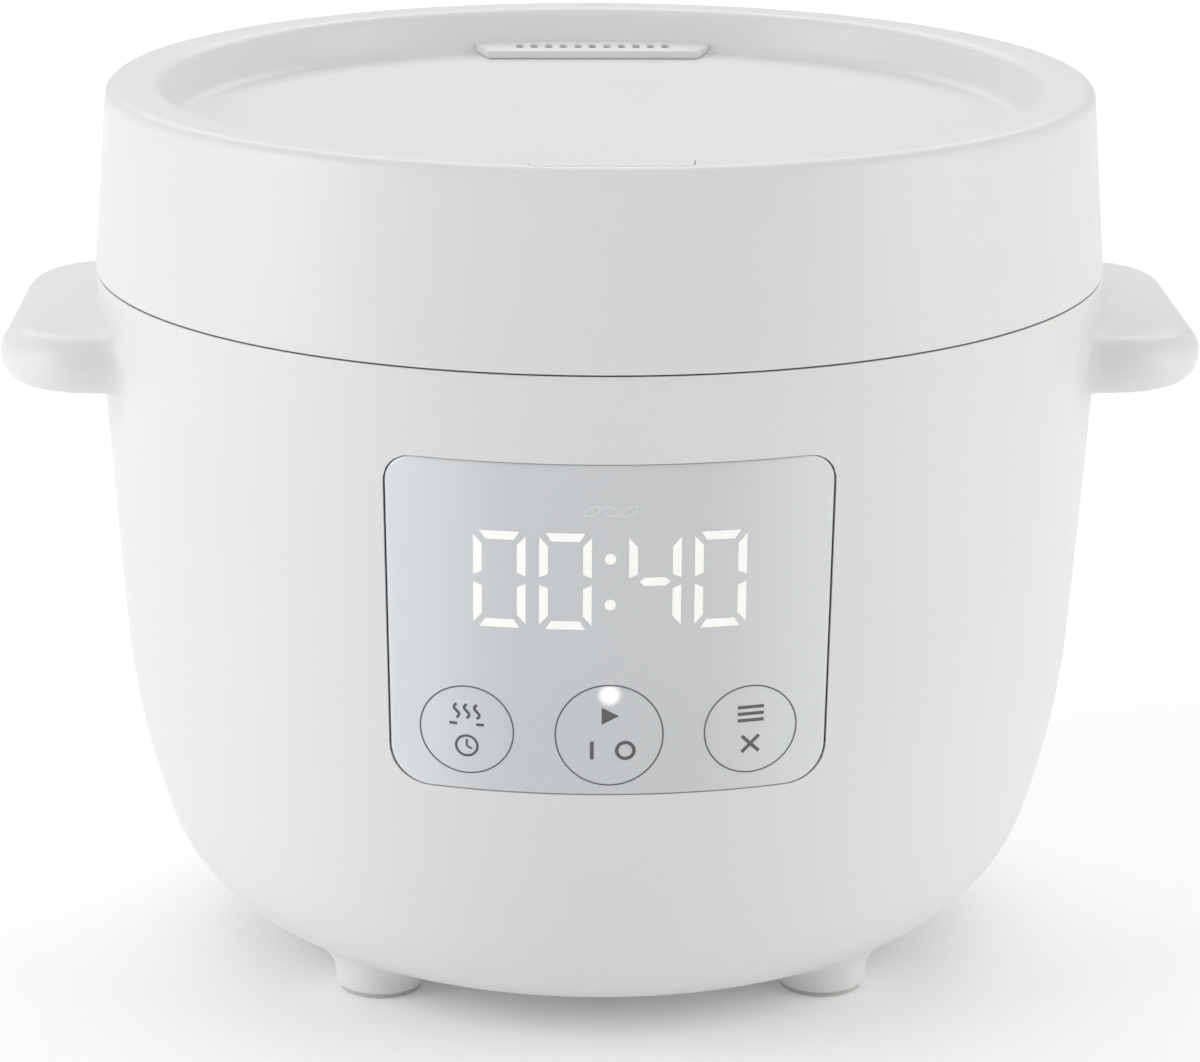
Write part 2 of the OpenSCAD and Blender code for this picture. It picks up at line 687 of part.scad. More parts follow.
module latch_bracket() {
    color(STEEL) difference() {
        union() {
            for (x = [-12.4, 11.2]) box(x, x + 1.2, -102.4, -90, 152.4, 167.4);
            box(-12.4, 12.4, -91.2, -90, 152.4, 156);
            for (x = [-16.4, 11.2]) box(x, x + 5.2, -102.4, -90, 152.4, 153.2);
            for (x = [-12.4, 8.2]) box(x, x + 4.2, -100, -94.5, 166.6, 167.4);
        }
        translate([-20, pivot_y, pivot_z]) rotate([0, 90, 0]) cylinder(r = 1.5, h = 40);
    }
}
module latch_pivot_pin() {
    color(STEEL) translate([-12.6, pivot_y, pivot_z]) rotate([0, 90, 0])
        cylinder(r = 1.5, h = 25.2);
}
module latch_hook() {
    color(PART_GREY) difference() {
        union() {
            translate([-7.4, pivot_y, pivot_z]) rotate([0, 90, 0]) cylinder(r = 3.2, h = 14.8);
            box(-7.4, 7.4, pivot_y - 1, pivot_y + 1.2, 142.2, pivot_z);
            slab_x(-7.4, 7.4) polygon([[pivot_y + 1, 142.2], [pivot_y + 2.6, 144.2],
                [pivot_y + 1, 144.2]]);
            box(-6, 6, pivot_y, pivot_y + 11, pivot_z + 0.8, pivot_z + 3);
        }
        translate([-20, pivot_y, pivot_z]) rotate([0, 90, 0]) cylinder(r = 1.55, h = 40);
    }
}
module button_spring() {
    color(DARK) for (x = [-10.6, 10.6]) translate([x, -97.1, 167.5]) coil(2, 0.35, 6, 16);
}
// Push tab in the rim with a foot that presses the hook's arm
module release_button() {
    reach_y = pivot_y + 10.4;
    color(SHELL_WHITE) {
        difference() {
            intersection() {
                lid_solid();
                box(-button_half_w, button_half_w, button_front_y, button_back_y, 176, rim_z);
            }
            box(2 - button_half_w, button_half_w - 2, button_front_y + 2, button_back_y - 2,
                170, rim_z - 2.4);
        }
        box(-4, 4, button_back_y - 2, button_back_y - 0.2, 169.5, 180);
        box(-4, 4, button_back_y - 2, reach_y, 169.5, 171.5);
        box(-4, 4, reach_y - 1.6, reach_y, pivot_z + 3.3, 171.5);
    }
}

body_shell();
handle(180);  // handle_left
handle(0);  // handle_right
top_collar();
collar_screws();
base_cover();
base_screws();
foot_post(0);  // foot_post_1
foot_post(1);  // foot_post_2
foot_post(2);  // foot_post_3
foot_post(3);  // foot_post_4
foot_pad(0);  // foot_pad_1
foot_pad(1);  // foot_pad_2
foot_pad(2);  // foot_pad_3
foot_pad(3);  // foot_pad_4
heat_liner();
heating_plate();
heater_tube();
plate_posts();
heater_leads();
sensor_holder();
sensor_spring();
sensor_cap();
thermal_fuse();
inner_pot();
control_panel();
lit_segments();
status_light();
display_module();
control_board();
control_chip();
buzzer();
touch_spring(0);  // touch_spring_1
touch_spring(1);  // touch_spring_2
touch_spring(2);  // touch_spring_3
ribbon_cable();
power_board();
relay();
transformer();
capacitor();
inlet_socket();
inlet_pins();
hinge_pin();
hinge_springs();
latch_striker();
lid_shell();
lid_dish();
lid_base();
lid_screws();
inner_lid_plate();
lid_gasket();
plate_grommet();
steam_cup();
steam_seal();
vent_cover();
latch_bracket();
latch_pivot_pin();
latch_hook();
button_spring();
release_button();
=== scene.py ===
"""Rice cooker: the looks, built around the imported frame. Shapes are worked out in millimetres."""

import json
import math

import bmesh
import bpy
import numpy as np
from mathutils import Euler, Matrix, Vector


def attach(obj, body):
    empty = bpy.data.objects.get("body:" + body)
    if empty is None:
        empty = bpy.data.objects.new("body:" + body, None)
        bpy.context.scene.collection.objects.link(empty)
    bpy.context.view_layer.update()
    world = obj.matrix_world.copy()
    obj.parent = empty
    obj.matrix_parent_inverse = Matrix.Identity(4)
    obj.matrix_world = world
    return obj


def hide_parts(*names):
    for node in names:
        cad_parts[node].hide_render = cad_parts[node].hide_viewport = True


MM = 0.001
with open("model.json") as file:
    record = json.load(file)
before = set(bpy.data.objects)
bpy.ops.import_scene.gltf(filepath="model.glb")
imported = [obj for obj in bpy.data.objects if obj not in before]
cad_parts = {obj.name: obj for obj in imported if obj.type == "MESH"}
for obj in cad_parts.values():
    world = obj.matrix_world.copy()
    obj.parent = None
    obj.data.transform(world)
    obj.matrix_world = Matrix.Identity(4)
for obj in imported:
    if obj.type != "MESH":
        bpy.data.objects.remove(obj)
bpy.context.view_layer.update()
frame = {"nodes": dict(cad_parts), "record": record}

# Camera, fitted to the rim, seam and base ellipses; mm and degrees
CAMERA_DISTANCE = 848.8
CAMERA_HEIGHT = 332.6
CAMERA_SIDE = 0.41
CAMERA_PITCH = 16.115
CAMERA_TURN = -1.34
CAMERA_ROLL = 0.30
CAMERA_LENS = 120.3
SENSOR_WIDTH = 36.0

# The body's side: radius at the seam, then arcs of (radius, end angle of the outward normal)
BODY_TOP = 149.0
EDGE_R = 0.25
BODY_EDGE = (108.0 - EDGE_R, BODY_TOP, 90.0)
BODY_ARCS = [(EDGE_R, -2.8), (3333.0, -4.14), (170.0, -18.4), (35.0, -90.0)]
BASE_OPEN_R = 59.0
WALL = 2.6
# Openings in the rear wall and skirt: half width, lowest and highest z
KNUCKLE_CUT = (13.4, 143.5, 156.0)
INLET_CUT = (14.6, 15.9, 37.1)
LID_HINGE_CUT = (28.8, 140.0, 161.5)
# Mesh density: the step along an outline, and the columns around the axis
GRID_STEP = 1.9
COLUMNS = 360

# The lid
LID_EDGE = (108.0 - EDGE_R, 149.28, -90.0)
LID_DRAFT = 4.5
RIM_Z = 188.5
RIM_EDGE_R = 2.6
RIM_INNER_R = 95.5
RIM_INNER_EDGE_R = 2.5
FLOOR_Z = 179.4
DISH_SLOPE = 160.0
DISH_FILLET_R = 3.0
LID_WALL = 2.4

# The release button
BUTTON_HALF_W = 15.75
BUTTON_Y = (-101.8, -92.0)
BUTTON_FRONT_R = 2.6
BUTTON_REAR_R = 0.4
BUTTON_FOOT_Z = 176.0
BUTTON_GAP = 0.22

# The steam pipe and its cover; radii are (inner, outer)
PIPE_Y = 83.0
PIPE_R = (4.6, 6.4)
PIPE_BOTTOM_Z = 166.5
PIPE_SIDES = 36
SPIGOT_R = (3.0, 4.3)
SPIGOT_DEPTH = 5.0
VENT_HALF_W = 24.3
VENT_FRONT_Y = 76.0
VENT_BACK_R = 90.9
VENT_BACK_ANGLE = 17.6
VENT_T = 2.0
SLOT_PITCH = 3.4
SLOT_Y = 83.5
SLOT_SIZE = (1.6, 6.0)

# The hinge
HINGE_Y = 105.5
HINGE_Z = 150.0
KNUCKLE_R = 4.8
KNUCKLE_HALF_W = 10.4
LUG_X = 20.7
LUG_HALF_W = 7.3
LUG_Z = (128.0, 142.0)

# Handles, feet and the boss of the mains inlet
HANDLE_REACH = 126.6
HANDLE_HALF_W = 43.0
HANDLE_Z = (128.2, 140.2)
HANDLE_CORNER = 20.0
HANDLE_EDGE = 5.8
HANDLE_BLEND = 3.9
FOOT_XY = 47.2
FOOT_R = 9.6
FOOT_BOTTOM = 0.8
FOOT_EDGE = 1.4
FOOT_BLEND = 4.6
BOSS_CENTRE = np.array([0.0, 88.0, 26.5])
BOSS_HALF = (18.0, 11.0, 14.0)
BOSS_EDGE = 2.0
BOSS_BLEND = 3.5

# Panel
PANEL_HALF_W = 44.2
PANEL_Z = (62.6, 131.5)
PANEL_LOW_INSET = 0.7
PANEL_TOP_R = 5.5
PANEL_LOW_R = 8.0
PANEL_GAP = 0.10
PANEL_SIDE_GAP = 0.42
LENS_T = 1.95
# Depths of the dark strip painted into the gap around the lens as shade
GAP_SHADE_DEPTH = (0.35, 1.7)
DIGIT_X = (-21.5, -8.7, 8.7, 21.5)
DIGIT_W = 10.2
DIGIT_H = 19.8
DIGIT_Z = 107.6
SEGMENT_T = 1.7
DOT_R = 1.1
COLON_Z = (-4.7, 4.7)
SHOWN = "0040"
KEY_Z = 75.5
KEY_X = (-28.0, 0.0, 28.0)
KEY_R = (9.2, 10.6, 9.2)
LIGHT_Z = 84.0
GRAIN_Z = 122.0
# How far lit parts and print stand proud of the lens, and how deep they go
LIT_PROUD, LIT_DEPTH = 0.03, 0.6
PRINT_PROUD, PRINT_DEPTH = 0.02, 0.06

# Lights: the sky in front and behind, the floor's own glow and half its width in metres, then each
# soft box's name, place, target and size in metres, power in watts and colour
SKY_FRONT = 0.225
SKY_BACK = 0.51
FLOOR_GLOW = 0.095
FLOOR_HALF = 6.0
SOFT_BOXES = [
    ("left_box", (-1.58, -0.55, 0.7), (0, 0, 0.12), (1.0, 1.4), 14.0, (0.975, 0.985, 1.0)),
    ("right_box", (1.58, -0.55, 0.7), (0, 0, 0.12), (1.0, 1.4), 11.3, (1.0, 0.97, 0.94)),
    ("top_box", (0, 0.1, 1.9), (0, 0, 0), (1.6, 1.6), 2.8, (1, 1, 1)),
    ("key_box", (0, -1.25, 1.35), (0, 0, 0.15), (1.4, 0.8), 2.7, (1, 1, 1)),
    ("back_wash", (0, 1.6, 1.3), (0, 1.4, 0), (2.4, 1.2), 18.0, (1, 1, 1)),
]


# ---------------------------------------------------------------- outlines

def arc(path, radius, end, step=GRID_STEP, least=3):
    """Carries an outline of (r, z, angle of the normal) on along an arc; a negative radius is hollow."""
    r0, z0, a0 = path[-1]
    count = max(least, math.ceil(abs(radius * math.radians(end - a0)) / step))
    for a in np.linspace(a0, end, count + 1)[1:]:
        path.append((r0 + radius * (math.cos(math.radians(a)) - math.cos(math.radians(a0))),
                     z0 + radius * (math.sin(math.radians(a)) - math.sin(math.radians(a0))), a))


def line(path, r, z, step=GRID_STEP):
    """Carries an outline on to (r, z) in a straight line."""
    r0, z0, a0 = path[-1]
    count = max(1, math.ceil(math.hypot(r - r0, z - z0) / step))
    for t in np.linspace(0, 1, count + 1)[1:]:
        path.append((r0 + (r - r0) * t, z0 + (z - z0) * t, a0))


def body_outline():
    """The body's side from the seam down to the base, as (radius, z, angle of the normal)."""
    path = [BODY_EDGE]
    for radius, end in BODY_ARCS:
        arc(path, radius, end)
    return path


def lid_outline():
    """The lid from the seam up over the rim and across the dish, in the same form."""
    path = [LID_EDGE]
    arc(path, EDGE_R, LID_DRAFT)
    edge_z = RIM_Z - RIM_EDGE_R * (1 - math.sin(math.radians(LID_DRAFT)))
    line(path, path[-1][0] - (edge_z - path[-1][1]) * math.tan(math.radians(LID_DRAFT)), edge_z)
    arc(path, RIM_EDGE_R, 90.0, least=8)
    line(path, RIM_INNER_R, RIM_Z)
    arc(path, RIM_INNER_EDGE_R, DISH_SLOPE, least=6)
    slope_end = FLOOR_Z + DISH_FILLET_R * (1 - math.sin(math.radians(DISH_SLOPE)))
    drop = path[-1][1] - slope_end
    line(path, path[-1][0] - drop / math.tan(math.radians(DISH_SLOPE - 90)), slope_end)
    arc(path, -DISH_FILLET_R, 90.0, least=6)
    line(path, 80.0, FLOOR_Z)
    line(path, 0.0, FLOOR_Z, step=8.0)
    return path


BODY_PATH = body_outline()
BASE_Z = BODY_PATH[-1][1]
LID_PATH = lid_outline()
BODY_R = np.array([(q[1], q[0]) for q in BODY_PATH if q[2] <= BODY_ARCS[0][1]][::-1])
LID_TOP = np.array([(q[0], q[1]) for q in LID_PATH if q[1] > 170][::-1])
LID_SKIRT = np.array([(q[1], q[0]) for q in LID_PATH if q[2] <= 90 and q[0] > 100])


def body_radius(z):
    return np.interp(z, BODY_R[:, 0], BODY_R[:, 1])


def unit(rows):
    """Every row at length 1."""
    return rows / np.linalg.norm(rows, axis=1, keepdims=True)


def rounded_outline(corners, steps=10):
    """A closed outline from (centre x, centre z, radius, start angle, end angle) corners."""
    points = []
    for cx, cz, r, a0, a1 in corners:
        for a in np.radians(np.linspace(a0, a1, steps + 1)):
            points.append((cx + r * math.cos(a), cz + r * math.sin(a)))
    return np.array(points)


def panel_outline(grow):
    """The panel window, grown outwards; the same corners as the CAD window."""
    top = PANEL_HALF_W + grow
    low = PANEL_HALF_W - PANEL_LOW_INSET + grow
    r1 = PANEL_TOP_R + grow
    r2 = PANEL_LOW_R + grow
    z0 = PANEL_Z[0] - grow
    z1 = PANEL_Z[1] + grow
    return rounded_outline([(top - r1, z1 - r1, r1, 0, 90), (r1 - top, z1 - r1, r1, 90, 180),
                            (r2 - low, z0 + r2, r2, 180, 270), (low - r2, z0 + r2, r2, 270, 360)])


def resample(outline, spacing):
    """Points at an even spacing along a closed outline, its own points kept."""
    out = []
    for a, b in zip(outline, np.roll(outline, -1, axis=0)):
        count = max(1, round(float(np.linalg.norm(b - a)) / spacing))
        out += [a + (b - a) * i / count for i in range(count)]
    return np.array(out)


def inside(points, outline):
    """Which 2-D points lie in a closed outline."""
    x, y = points[:, 0], points[:, 1]
    hit = np.zeros(len(points), bool)
    for (x1, y1), (x2, y2) in zip(outline, np.roll(outline, -1, axis=0)):
        if y1 != y2:
            hit ^= ((y1 > y) != (y2 > y)) & (x < (x2 - x1) * (y - y1) / (y2 - y1) + x1)
    return hit


def nearest(points, outline):
    """The nearest point of a closed outline to each 2-D point."""
    a, b = outline, np.roll(outline, -1, axis=0)
    ab = b - a
    t = ((points[:, None] - a) * ab).sum(2) / np.maximum((ab * ab).sum(1), 1e-9)
    foot = a + np.clip(t, 0, 1)[..., None] * ab
    best = np.linalg.norm(points[:, None] - foot, axis=2).argmin(1)
    return foot[np.arange(len(points)), best]


# ---------------------------------------------------------------- meshes

def revolve(path, columns=COLUMNS):
    """A grid around +Z: vertices row by row, and quads that face along the outline's normal."""
    turn = np.linspace(0, 2 * math.pi, columns, endpoint=False)
    profile = np.array([(q[0], q[1]) for q in path])
    verts = np.stack([np.outer(profile[:, 0], np.cos(turn)), np.outer(profile[:, 0], np.sin(turn)),
                      np.repeat(profile[:, 1:], columns, axis=1)], axis=2).reshape(-1, 3)
    i, j = np.meshgrid(np.arange(len(path) - 1), np.arange(columns), indexing="ij")
    k = (j + 1) % columns
    quads = np.stack([i * columns + j, i * columns + k, (i + 1) * columns + k, (i + 1) * columns + j], 2)
    way = np.diff(profile, axis=0)
    angle = np.radians([q[2] for q in path[:-1]])
    if (way[:, 1] * np.cos(angle) - way[:, 0] * np.sin(angle)).sum() < 0:
        quads = quads[..., ::-1]
    return verts, quads.reshape(-1, 4)


def borders(kept, gone):
    """Directed edges of the kept quads that a removed quad shares."""
    shared = set()
    for quad in gone:
        for a, b in zip(quad, np.roll(quad, -1)):
            shared.add((min(a, b), max(a, b)))
    return [(a, b) for quad in kept for a, b in zip(quad, np.roll(quad, -1))
            if (min(a, b), max(a, b)) in shared]


def cut(verts, quads, outline, flat, lift, region, keep_inside=False):
    """Cuts an outline out of a grid and moves the border vertices onto it.
    flat gives a vertex's 2-D place, lift turns that back to 3-D, and region limits the cut."""
    middle = verts[quads].mean(1)
    hit = region(middle) & inside(flat(middle), outline)
    kept, gone = (quads[hit], quads[~hit]) if keep_inside else (quads[~hit], quads[hit])
    near = gone[region(verts[gone].mean(1))] if keep_inside else gone
    edges = borders(kept, near)
    ring = sorted({v for edge in edges for v in edge})
    verts[ring] = lift(nearest(flat(verts[ring]), outline), verts[ring])
    return verts, kept, edges


def front_flat(p):
    """The view from the front or rear."""
    return p[:, [0, 2]]


def front_lift(q, old):
    """Back from that view onto the body's side."""
    r = body_radius(q[:, 1])
    return np.stack([q[:, 0], np.sign(old[:, 1]) * np.sqrt(r * r - q[:, 0] ** 2), q[:, 1]], 1)


def skirt_lift(q, old):
    """Back from that view onto the lid's skirt."""
    r = np.interp(q[:, 1], LID_SKIRT[:, 0], LID_SKIRT[:, 1])
    return np.stack([q[:, 0], np.sign(old[:, 1]) * np.sqrt(r * r - q[:, 0] ** 2), q[:, 1]], 1)


def plan_flat(p):
    """The view from above."""
    return p[:, [0, 1]]


def plan_lift(q, old):
    """Back from that view onto the lid's top."""
    z = np.interp(np.hypot(q[:, 0], q[:, 1]), LID_TOP[:, 0], LID_TOP[:, 1])
    return np.stack([q[:, 0], q[:, 1], z], 1)


def make_object(name, verts, faces, finish, body, slot, replaces=(), crease=32.0, thickness=0.0):
    """Makes a welded, smooth-shaded piece in metres, optionally thickened inwards, and rides it."""
    mesh = bpy.data.meshes.new(name)
    mesh.from_pydata((np.asarray(verts) * MM).tolist(), [], [[int(v) for v in f] for f in faces])
    work = bmesh.new()
    work.from_mesh(mesh)
    bmesh.ops.remove_doubles(work, verts=work.verts, dist=1e-7)
    loose = [v for v in work.verts if not v.link_faces]
    bmesh.ops.delete(work, geom=loose, context="VERTS")
    if not thickness:
        bmesh.ops.recalc_face_normals(work, faces=work.faces)
    work.to_mesh(mesh)
    work.free()
    piece = bpy.data.objects.new(name, mesh)
    bpy.context.scene.collection.objects.link(piece)
    if thickness:
        shell = piece.modifiers.new("thickness", "SOLIDIFY")
        shell.thickness = thickness * MM
        shell.offset = -1
        shell.use_even_offset = True
        apply_modifiers(piece)
    piece.data.shade_smooth()
    piece.data.set_sharp_from_angle(angle=math.radians(crease))
    piece.data.materials.clear()
    piece.data.materials.append(finish)
    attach(piece, body)
    if replaces:
        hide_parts(*replaces)


def apply_modifiers(piece):
    """Puts the result of a piece's modifiers in place of its mesh."""
    graph = bpy.context.evaluated_depsgraph_get()
    graph.update()
    applied = bpy.data.meshes.new_from_object(piece.evaluated_get(graph))
    piece.modifiers.clear()
    piece.data = applied


# ---------------------------------------------------------------- blended patches

def body_distance(p):
    """Signed distance to the body's outline of tangent arcs, revolved."""
    r, z = np.hypot(p[:, 0], p[:, 1]), p[:, 2]
    a = math.radians(BODY_ARCS[0][1])
    cr = BODY_EDGE[0] + BODY_ARCS[0][0] * math.cos(a)
    cz = BODY_EDGE[1] - BODY_ARCS[0][0] * (1 - math.sin(a))
    d = (r - cr) * math.cos(a) + (z - cz) * math.sin(a)
    for radius, end in BODY_ARCS[1:]:
        mr, mz = cr - radius * math.cos(a), cz - radius * math.sin(a)
        turned = np.arctan2(z - mz, r - mr)
        d = np.where(turned < a, np.hypot(r - mr, z - mz) - radius, d)
        a = math.radians(end)
        cr, cz = mr + radius * math.cos(a), mz + radius * math.sin(a)
    return np.where((r < cr) & (z < mz), cz - z, d)


def rounded_box(q, half, edge):
    """Distance to a box with rounded edges, from (u, v, w) offsets to its centre."""
    d = np.abs(q) - np.array(half) + edge
    return np.linalg.norm(np.maximum(d, 0), axis=1) + np.minimum(d.max(1), 0) - edge


def handle_distance(p):
    """Distance to both handles, which are one slab inside the body."""
    inner = 60.0
    half_z = (HANDLE_Z[1] - HANDLE_Z[0]) / 2
    plan = np.stack([np.abs(p[:, 0]) - inner, p[:, 1]], 1)
    d = np.abs(plan) - np.array([HANDLE_REACH - inner, HANDLE_HALF_W]) + HANDLE_CORNER
    plan_d = np.linalg.norm(np.maximum(d, 0), axis=1) + np.minimum(d.max(1), 0) - HANDLE_CORNER
    side = plan_d + HANDLE_EDGE
    rise = np.abs(p[:, 2] - HANDLE_Z[0] - half_z) - half_z + HANDLE_EDGE
    both = np.stack([side, rise], 1)
    return np.linalg.norm(np.maximum(both, 0), axis=1) + np.minimum(both.max(1), 0) - HANDLE_EDGE


def foot_distance(p):
    """Distance to the nearest of the four feet."""
    side = np.hypot(np.abs(p[:, 0]) - FOOT_XY, np.abs(p[:, 1]) - FOOT_XY) - FOOT_R + FOOT_EDGE
    down = FOOT_BOTTOM - p[:, 2] + FOOT_EDGE
    both = np.stack([side, down], 1)
    return np.linalg.norm(np.maximum(both, 0), axis=1) + np.minimum(both.max(1), 0) - FOOT_EDGE


def blended(distance, width):
    """The body joined to a feature with a smooth fillet."""
    def field(p):
        a, b = body_distance(p), distance(p)
        h = np.clip(0.5 + 0.5 * (b - a) / width, 0, 1)
        return b * (1 - h) + a * h - width * h * (1 - h)
    return field


def settle(points, field, rounds=6, eps=0.01):
    """Moves points along the field's gradient onto its zero surface."""
    p = np.array(points, float)
    for _ in range(rounds):
        grad = np.stack([(field(p + e) - field(p - e)) / (2 * eps) for e in np.eye(3) * eps], 1)
        grad /= np.maximum(np.linalg.norm(grad, axis=1, keepdims=True), 1e-9)
        p -= field(p)[:, None] * grad
    return p


def tube(rings, heart=None):
    """Faces between rings, closed by a fan to heart at the first and to the middle of the last.
    Without a heart the last ring is joined to the first."""
    count, size = len(rings), len(rings[0])
    verts = np.concatenate(rings)
    faces = []
    for i in range(count if heart is None else count - 1):
        n = (i + 1) % count
        for j in range(size):
            k = (j + 1) % size
            faces.append([i * size + j, i * size + k, n * size + k, n * size + j])
    if heart is not None:
        verts = np.concatenate([verts, [heart, rings[-1].mean(0)]])
        for j in range(size):
            k = (j + 1) % size
            faces.append([k, j, count * size])
            faces.append([(count - 1) * size + j, (count - 1) * size + k, count * size + 1])
    return verts, faces


def handle_patch(side):
    """One handle with its fillet, from inside the wall out to the tip."""
    half_z = (HANDLE_Z[1] - HANDLE_Z[0]) / 2
    mid_z = HANDLE_Z[0] + half_z

    def loop(half_y, half_h, grow):
        r = min(HANDLE_EDGE + grow, half_h + grow, half_y + grow)
        y, z = half_y + grow - r, half_h + grow - r
        corners = [(y, z, r, 0, 90), (-y, z, r, 90, 180), (-y, -z, r, 180, 270), (y, -z, r, 270, 360)]
        points = rounded_outline(corners, 7)
        out = []
        for i, (a, b) in enumerate(zip(points, np.roll(points, -1, axis=0))):
            count = {7: 34, 15: 3, 23: 34, 31: 3}.get(i, 1)
            out += [a + (b - a) * n / count for n in range(count)]
        return np.array(out)

    def on_body(yz):
        r = body_radius(yz[:, 1] + mid_z)
        return np.sqrt(r * r - yz[:, 0] ** 2)

    field = blended(handle_distance, HANDLE_BLEND)
    rings = []
    for grow in (3.8, 3.0, 2.3, 1.7, 1.2, 0.8, 0.4):
        yz = loop(HANDLE_HALF_W, half_z, grow)
        rings.append(np.column_stack([on_body(yz) + 0.1, yz[:, 0], yz[:, 1] + mid_z]))
    start = HANDLE_REACH - HANDLE_CORNER
    for t in (0.12, 0.3, 0.55, 0.8):
        yz = loop(HANDLE_HALF_W, half_z, 0)
        rings.append(np.column_stack([on_body(yz) * (1 - t) + start * t, yz[:, 0], yz[:, 1] + mid_z]))
    for a in np.radians([0, 10, 20, 30, 40, 50, 58, 66, 73, 79, 84, 88]):
        x = start + HANDLE_CORNER * math.sin(a)
        past = max(0.0, x - HANDLE_REACH + HANDLE_EDGE)
        half_h = half_z - HANDLE_EDGE + math.sqrt(HANDLE_EDGE ** 2 - past ** 2)
        yz = loop(HANDLE_HALF_W - HANDLE_CORNER * (1 - math.cos(a)), half_h, 0)
        rings.append(np.column_stack([np.full(len(yz), x), yz[:, 0], yz[:, 1] + mid_z]))
    rings = [settle(ring, field) for ring in rings]
    yz = loop(HANDLE_HALF_W, half_z, 4.6)
    root = np.column_stack([on_body(yz) - 0.4, yz[:, 0], yz[:, 1] + mid_z])
    verts, faces = tube([root] + rings, (104.0, 0.0, mid_z))
    verts[:, 0] *= side
    return verts, faces


def foot_patch(sx, sy):
    """One foot with its fillet, from inside the base down to its flat end."""
    turn = np.linspace(0, 2 * math.pi, 64, endpoint=False)
    field = blended(foot_distance, FOOT_BLEND)

    def ring(radius, z):
        x, y = FOOT_XY + radius * np.cos(turn), FOOT_XY + radius * np.sin(turn)
        return np.column_stack([x, y, np.full(len(turn), z)])

    def on_body(radius):
        points = ring(radius, 6.0)
        for _ in range(12):
            points[:, 2] += body_distance(points)
        return points

    rings = [on_body(FOOT_R + grow) for grow in (4.4, 3.6, 2.9, 2.2, 1.5, 0.9, 0.4)]
    neck = rings[-1][:, 2]
    for t in (0.3, 0.6, 0.85):
        points = ring(FOOT_R, 0)
        points[:, 2] = neck * (1 - t) + (FOOT_BOTTOM + FOOT_EDGE) * t
        rings.append(points)
    for a in np.radians([0, 30, 60, 85]):
        rings.append(ring(FOOT_R - FOOT_EDGE * (1 - math.cos(a)),
                          FOOT_BOTTOM + FOOT_EDGE * (1 - math.sin(a))))
    rings = [settle(points, field) for points in rings]
    root = on_body(FOOT_R + 5.4)
    root[:, 2] += 0.5
    verts, faces = tube([root] + rings, (FOOT_XY, FOOT_XY, 8.0))
    verts[:, 0] *= sx
    verts[:, 1] *= sy
    return verts, faces


def boss_patch():
    """The rounded block around the mains inlet, open at its face for the socket."""
    field = blended(lambda p: rounded_box(p - BOSS_CENTRE, BOSS_HALF, BOSS_EDGE), BOSS_BLEND)
    half_x, half_y, half_z = BOSS_HALF
    x, z, r = half_x - BOSS_EDGE, half_z - BOSS_EDGE, BOSS_EDGE
    corners = [(x, z, r, 0, 90), (-x, z, r, 90, 180), (-x, -z, r, 180, 270), (x, -z, r, 270, 360)]
    outline = resample(rounded_outline(corners, 5), 1.6)
    face_y = BOSS_CENTRE[1] + half_y

    def ring(grow, y):
        points = outline * ((half_x + grow) / half_x, (half_z + grow) / half_z)
        return np.column_stack([points[:, 0], np.full(len(points), y), points[:, 1] + BOSS_CENTRE[2]])

    def on_body(grow):
        points = ring(grow, face_y - 7.0)
        for _ in range(14):
            points[:, 1] -= body_distance(points)
        return points

    rings = [on_body(g) for g in (3.2, 2.4, 1.7, 1.0, 0.4)]
    neck = rings[-1][:, 1]
    for t in (0.35, 0.7):
        points = ring(0, 0)
        points[:, 1] = np.minimum(neck, face_y - 3.0) * (1 - t) + (face_y - 2.0) * t
        rings.append(points)
    rings = [settle(points, field) for points in rings]
    root = on_body(4.0)
    root[:, 1] -= 0.5
    rings += [ring(-0.1, face_y - 0.8), ring(-0.9, face_y - 0.1), ring(-1.6, face_y)]
    rings += [ring(-3.5, face_y), ring(-3.5, face_y - 11.0)]
    return tube([root] + rings)


# ---------------------------------------------------------------- materials

# The part of its range that noise mostly fills
NOISE_SPAN = (0.3, 0.7)


def blank_material(name):
    """A material with one shader, wired to its output."""
    made = bpy.data.materials.new(name)
    made.use_nodes = True
    tree = made.node_tree
    tree.nodes.clear()
    out = tree.nodes.new("ShaderNodeOutputMaterial")
    shader = tree.nodes.new("ShaderNodeBsdfPrincipled")
    tree.links.new(shader.outputs["BSDF"], out.inputs["Surface"])
    return made, tree, shader


def noise(tree, scale, detail=3.0, stretch=(1, 1, 1)):
    """Noise in object space; scale is in features per metre."""
    coords = tree.nodes.new("ShaderNodeTexCoord")
    mapping = tree.nodes.new("ShaderNodeMapping")
    mapping.inputs["Scale"].default_value = stretch
    texture = tree.nodes.new("ShaderNodeTexNoise")
    texture.inputs["Scale"].default_value = scale
    texture.inputs["Detail"].default_value = detail
    tree.links.new(coords.outputs["Object"], mapping.inputs["Vector"])
    tree.links.new(mapping.outputs["Vector"], texture.inputs["Vector"])
    return texture.outputs["Fac"]


def remap(tree, value, source, target=(0.0, 1.0), interpolation="LINEAR"):
    """Maps the source range of a value onto the target range."""
    node = tree.nodes.new("ShaderNodeMapRange")
    node.interpolation_type = interpolation
    for end, a, b in zip(("Min", "Max"), source, target):
        node.inputs["From " + end].default_value = a
        node.inputs["To " + end].default_value = b
    tree.links.new(value, node.inputs["Value"])
    return node.outputs["Result"]


def tinted(tree, value, dark, light):
    """A colour between dark and light, following noise."""
    ramp = tree.nodes.new("ShaderNodeValToRGB")
    for stop, place, colour in zip(ramp.color_ramp.elements, NOISE_SPAN, (dark, light)):
        stop.position = place
        stop.color = (*colour, 1)
    tree.links.new(value, ramp.inputs["Fac"])
    return ramp.outputs["Color"]


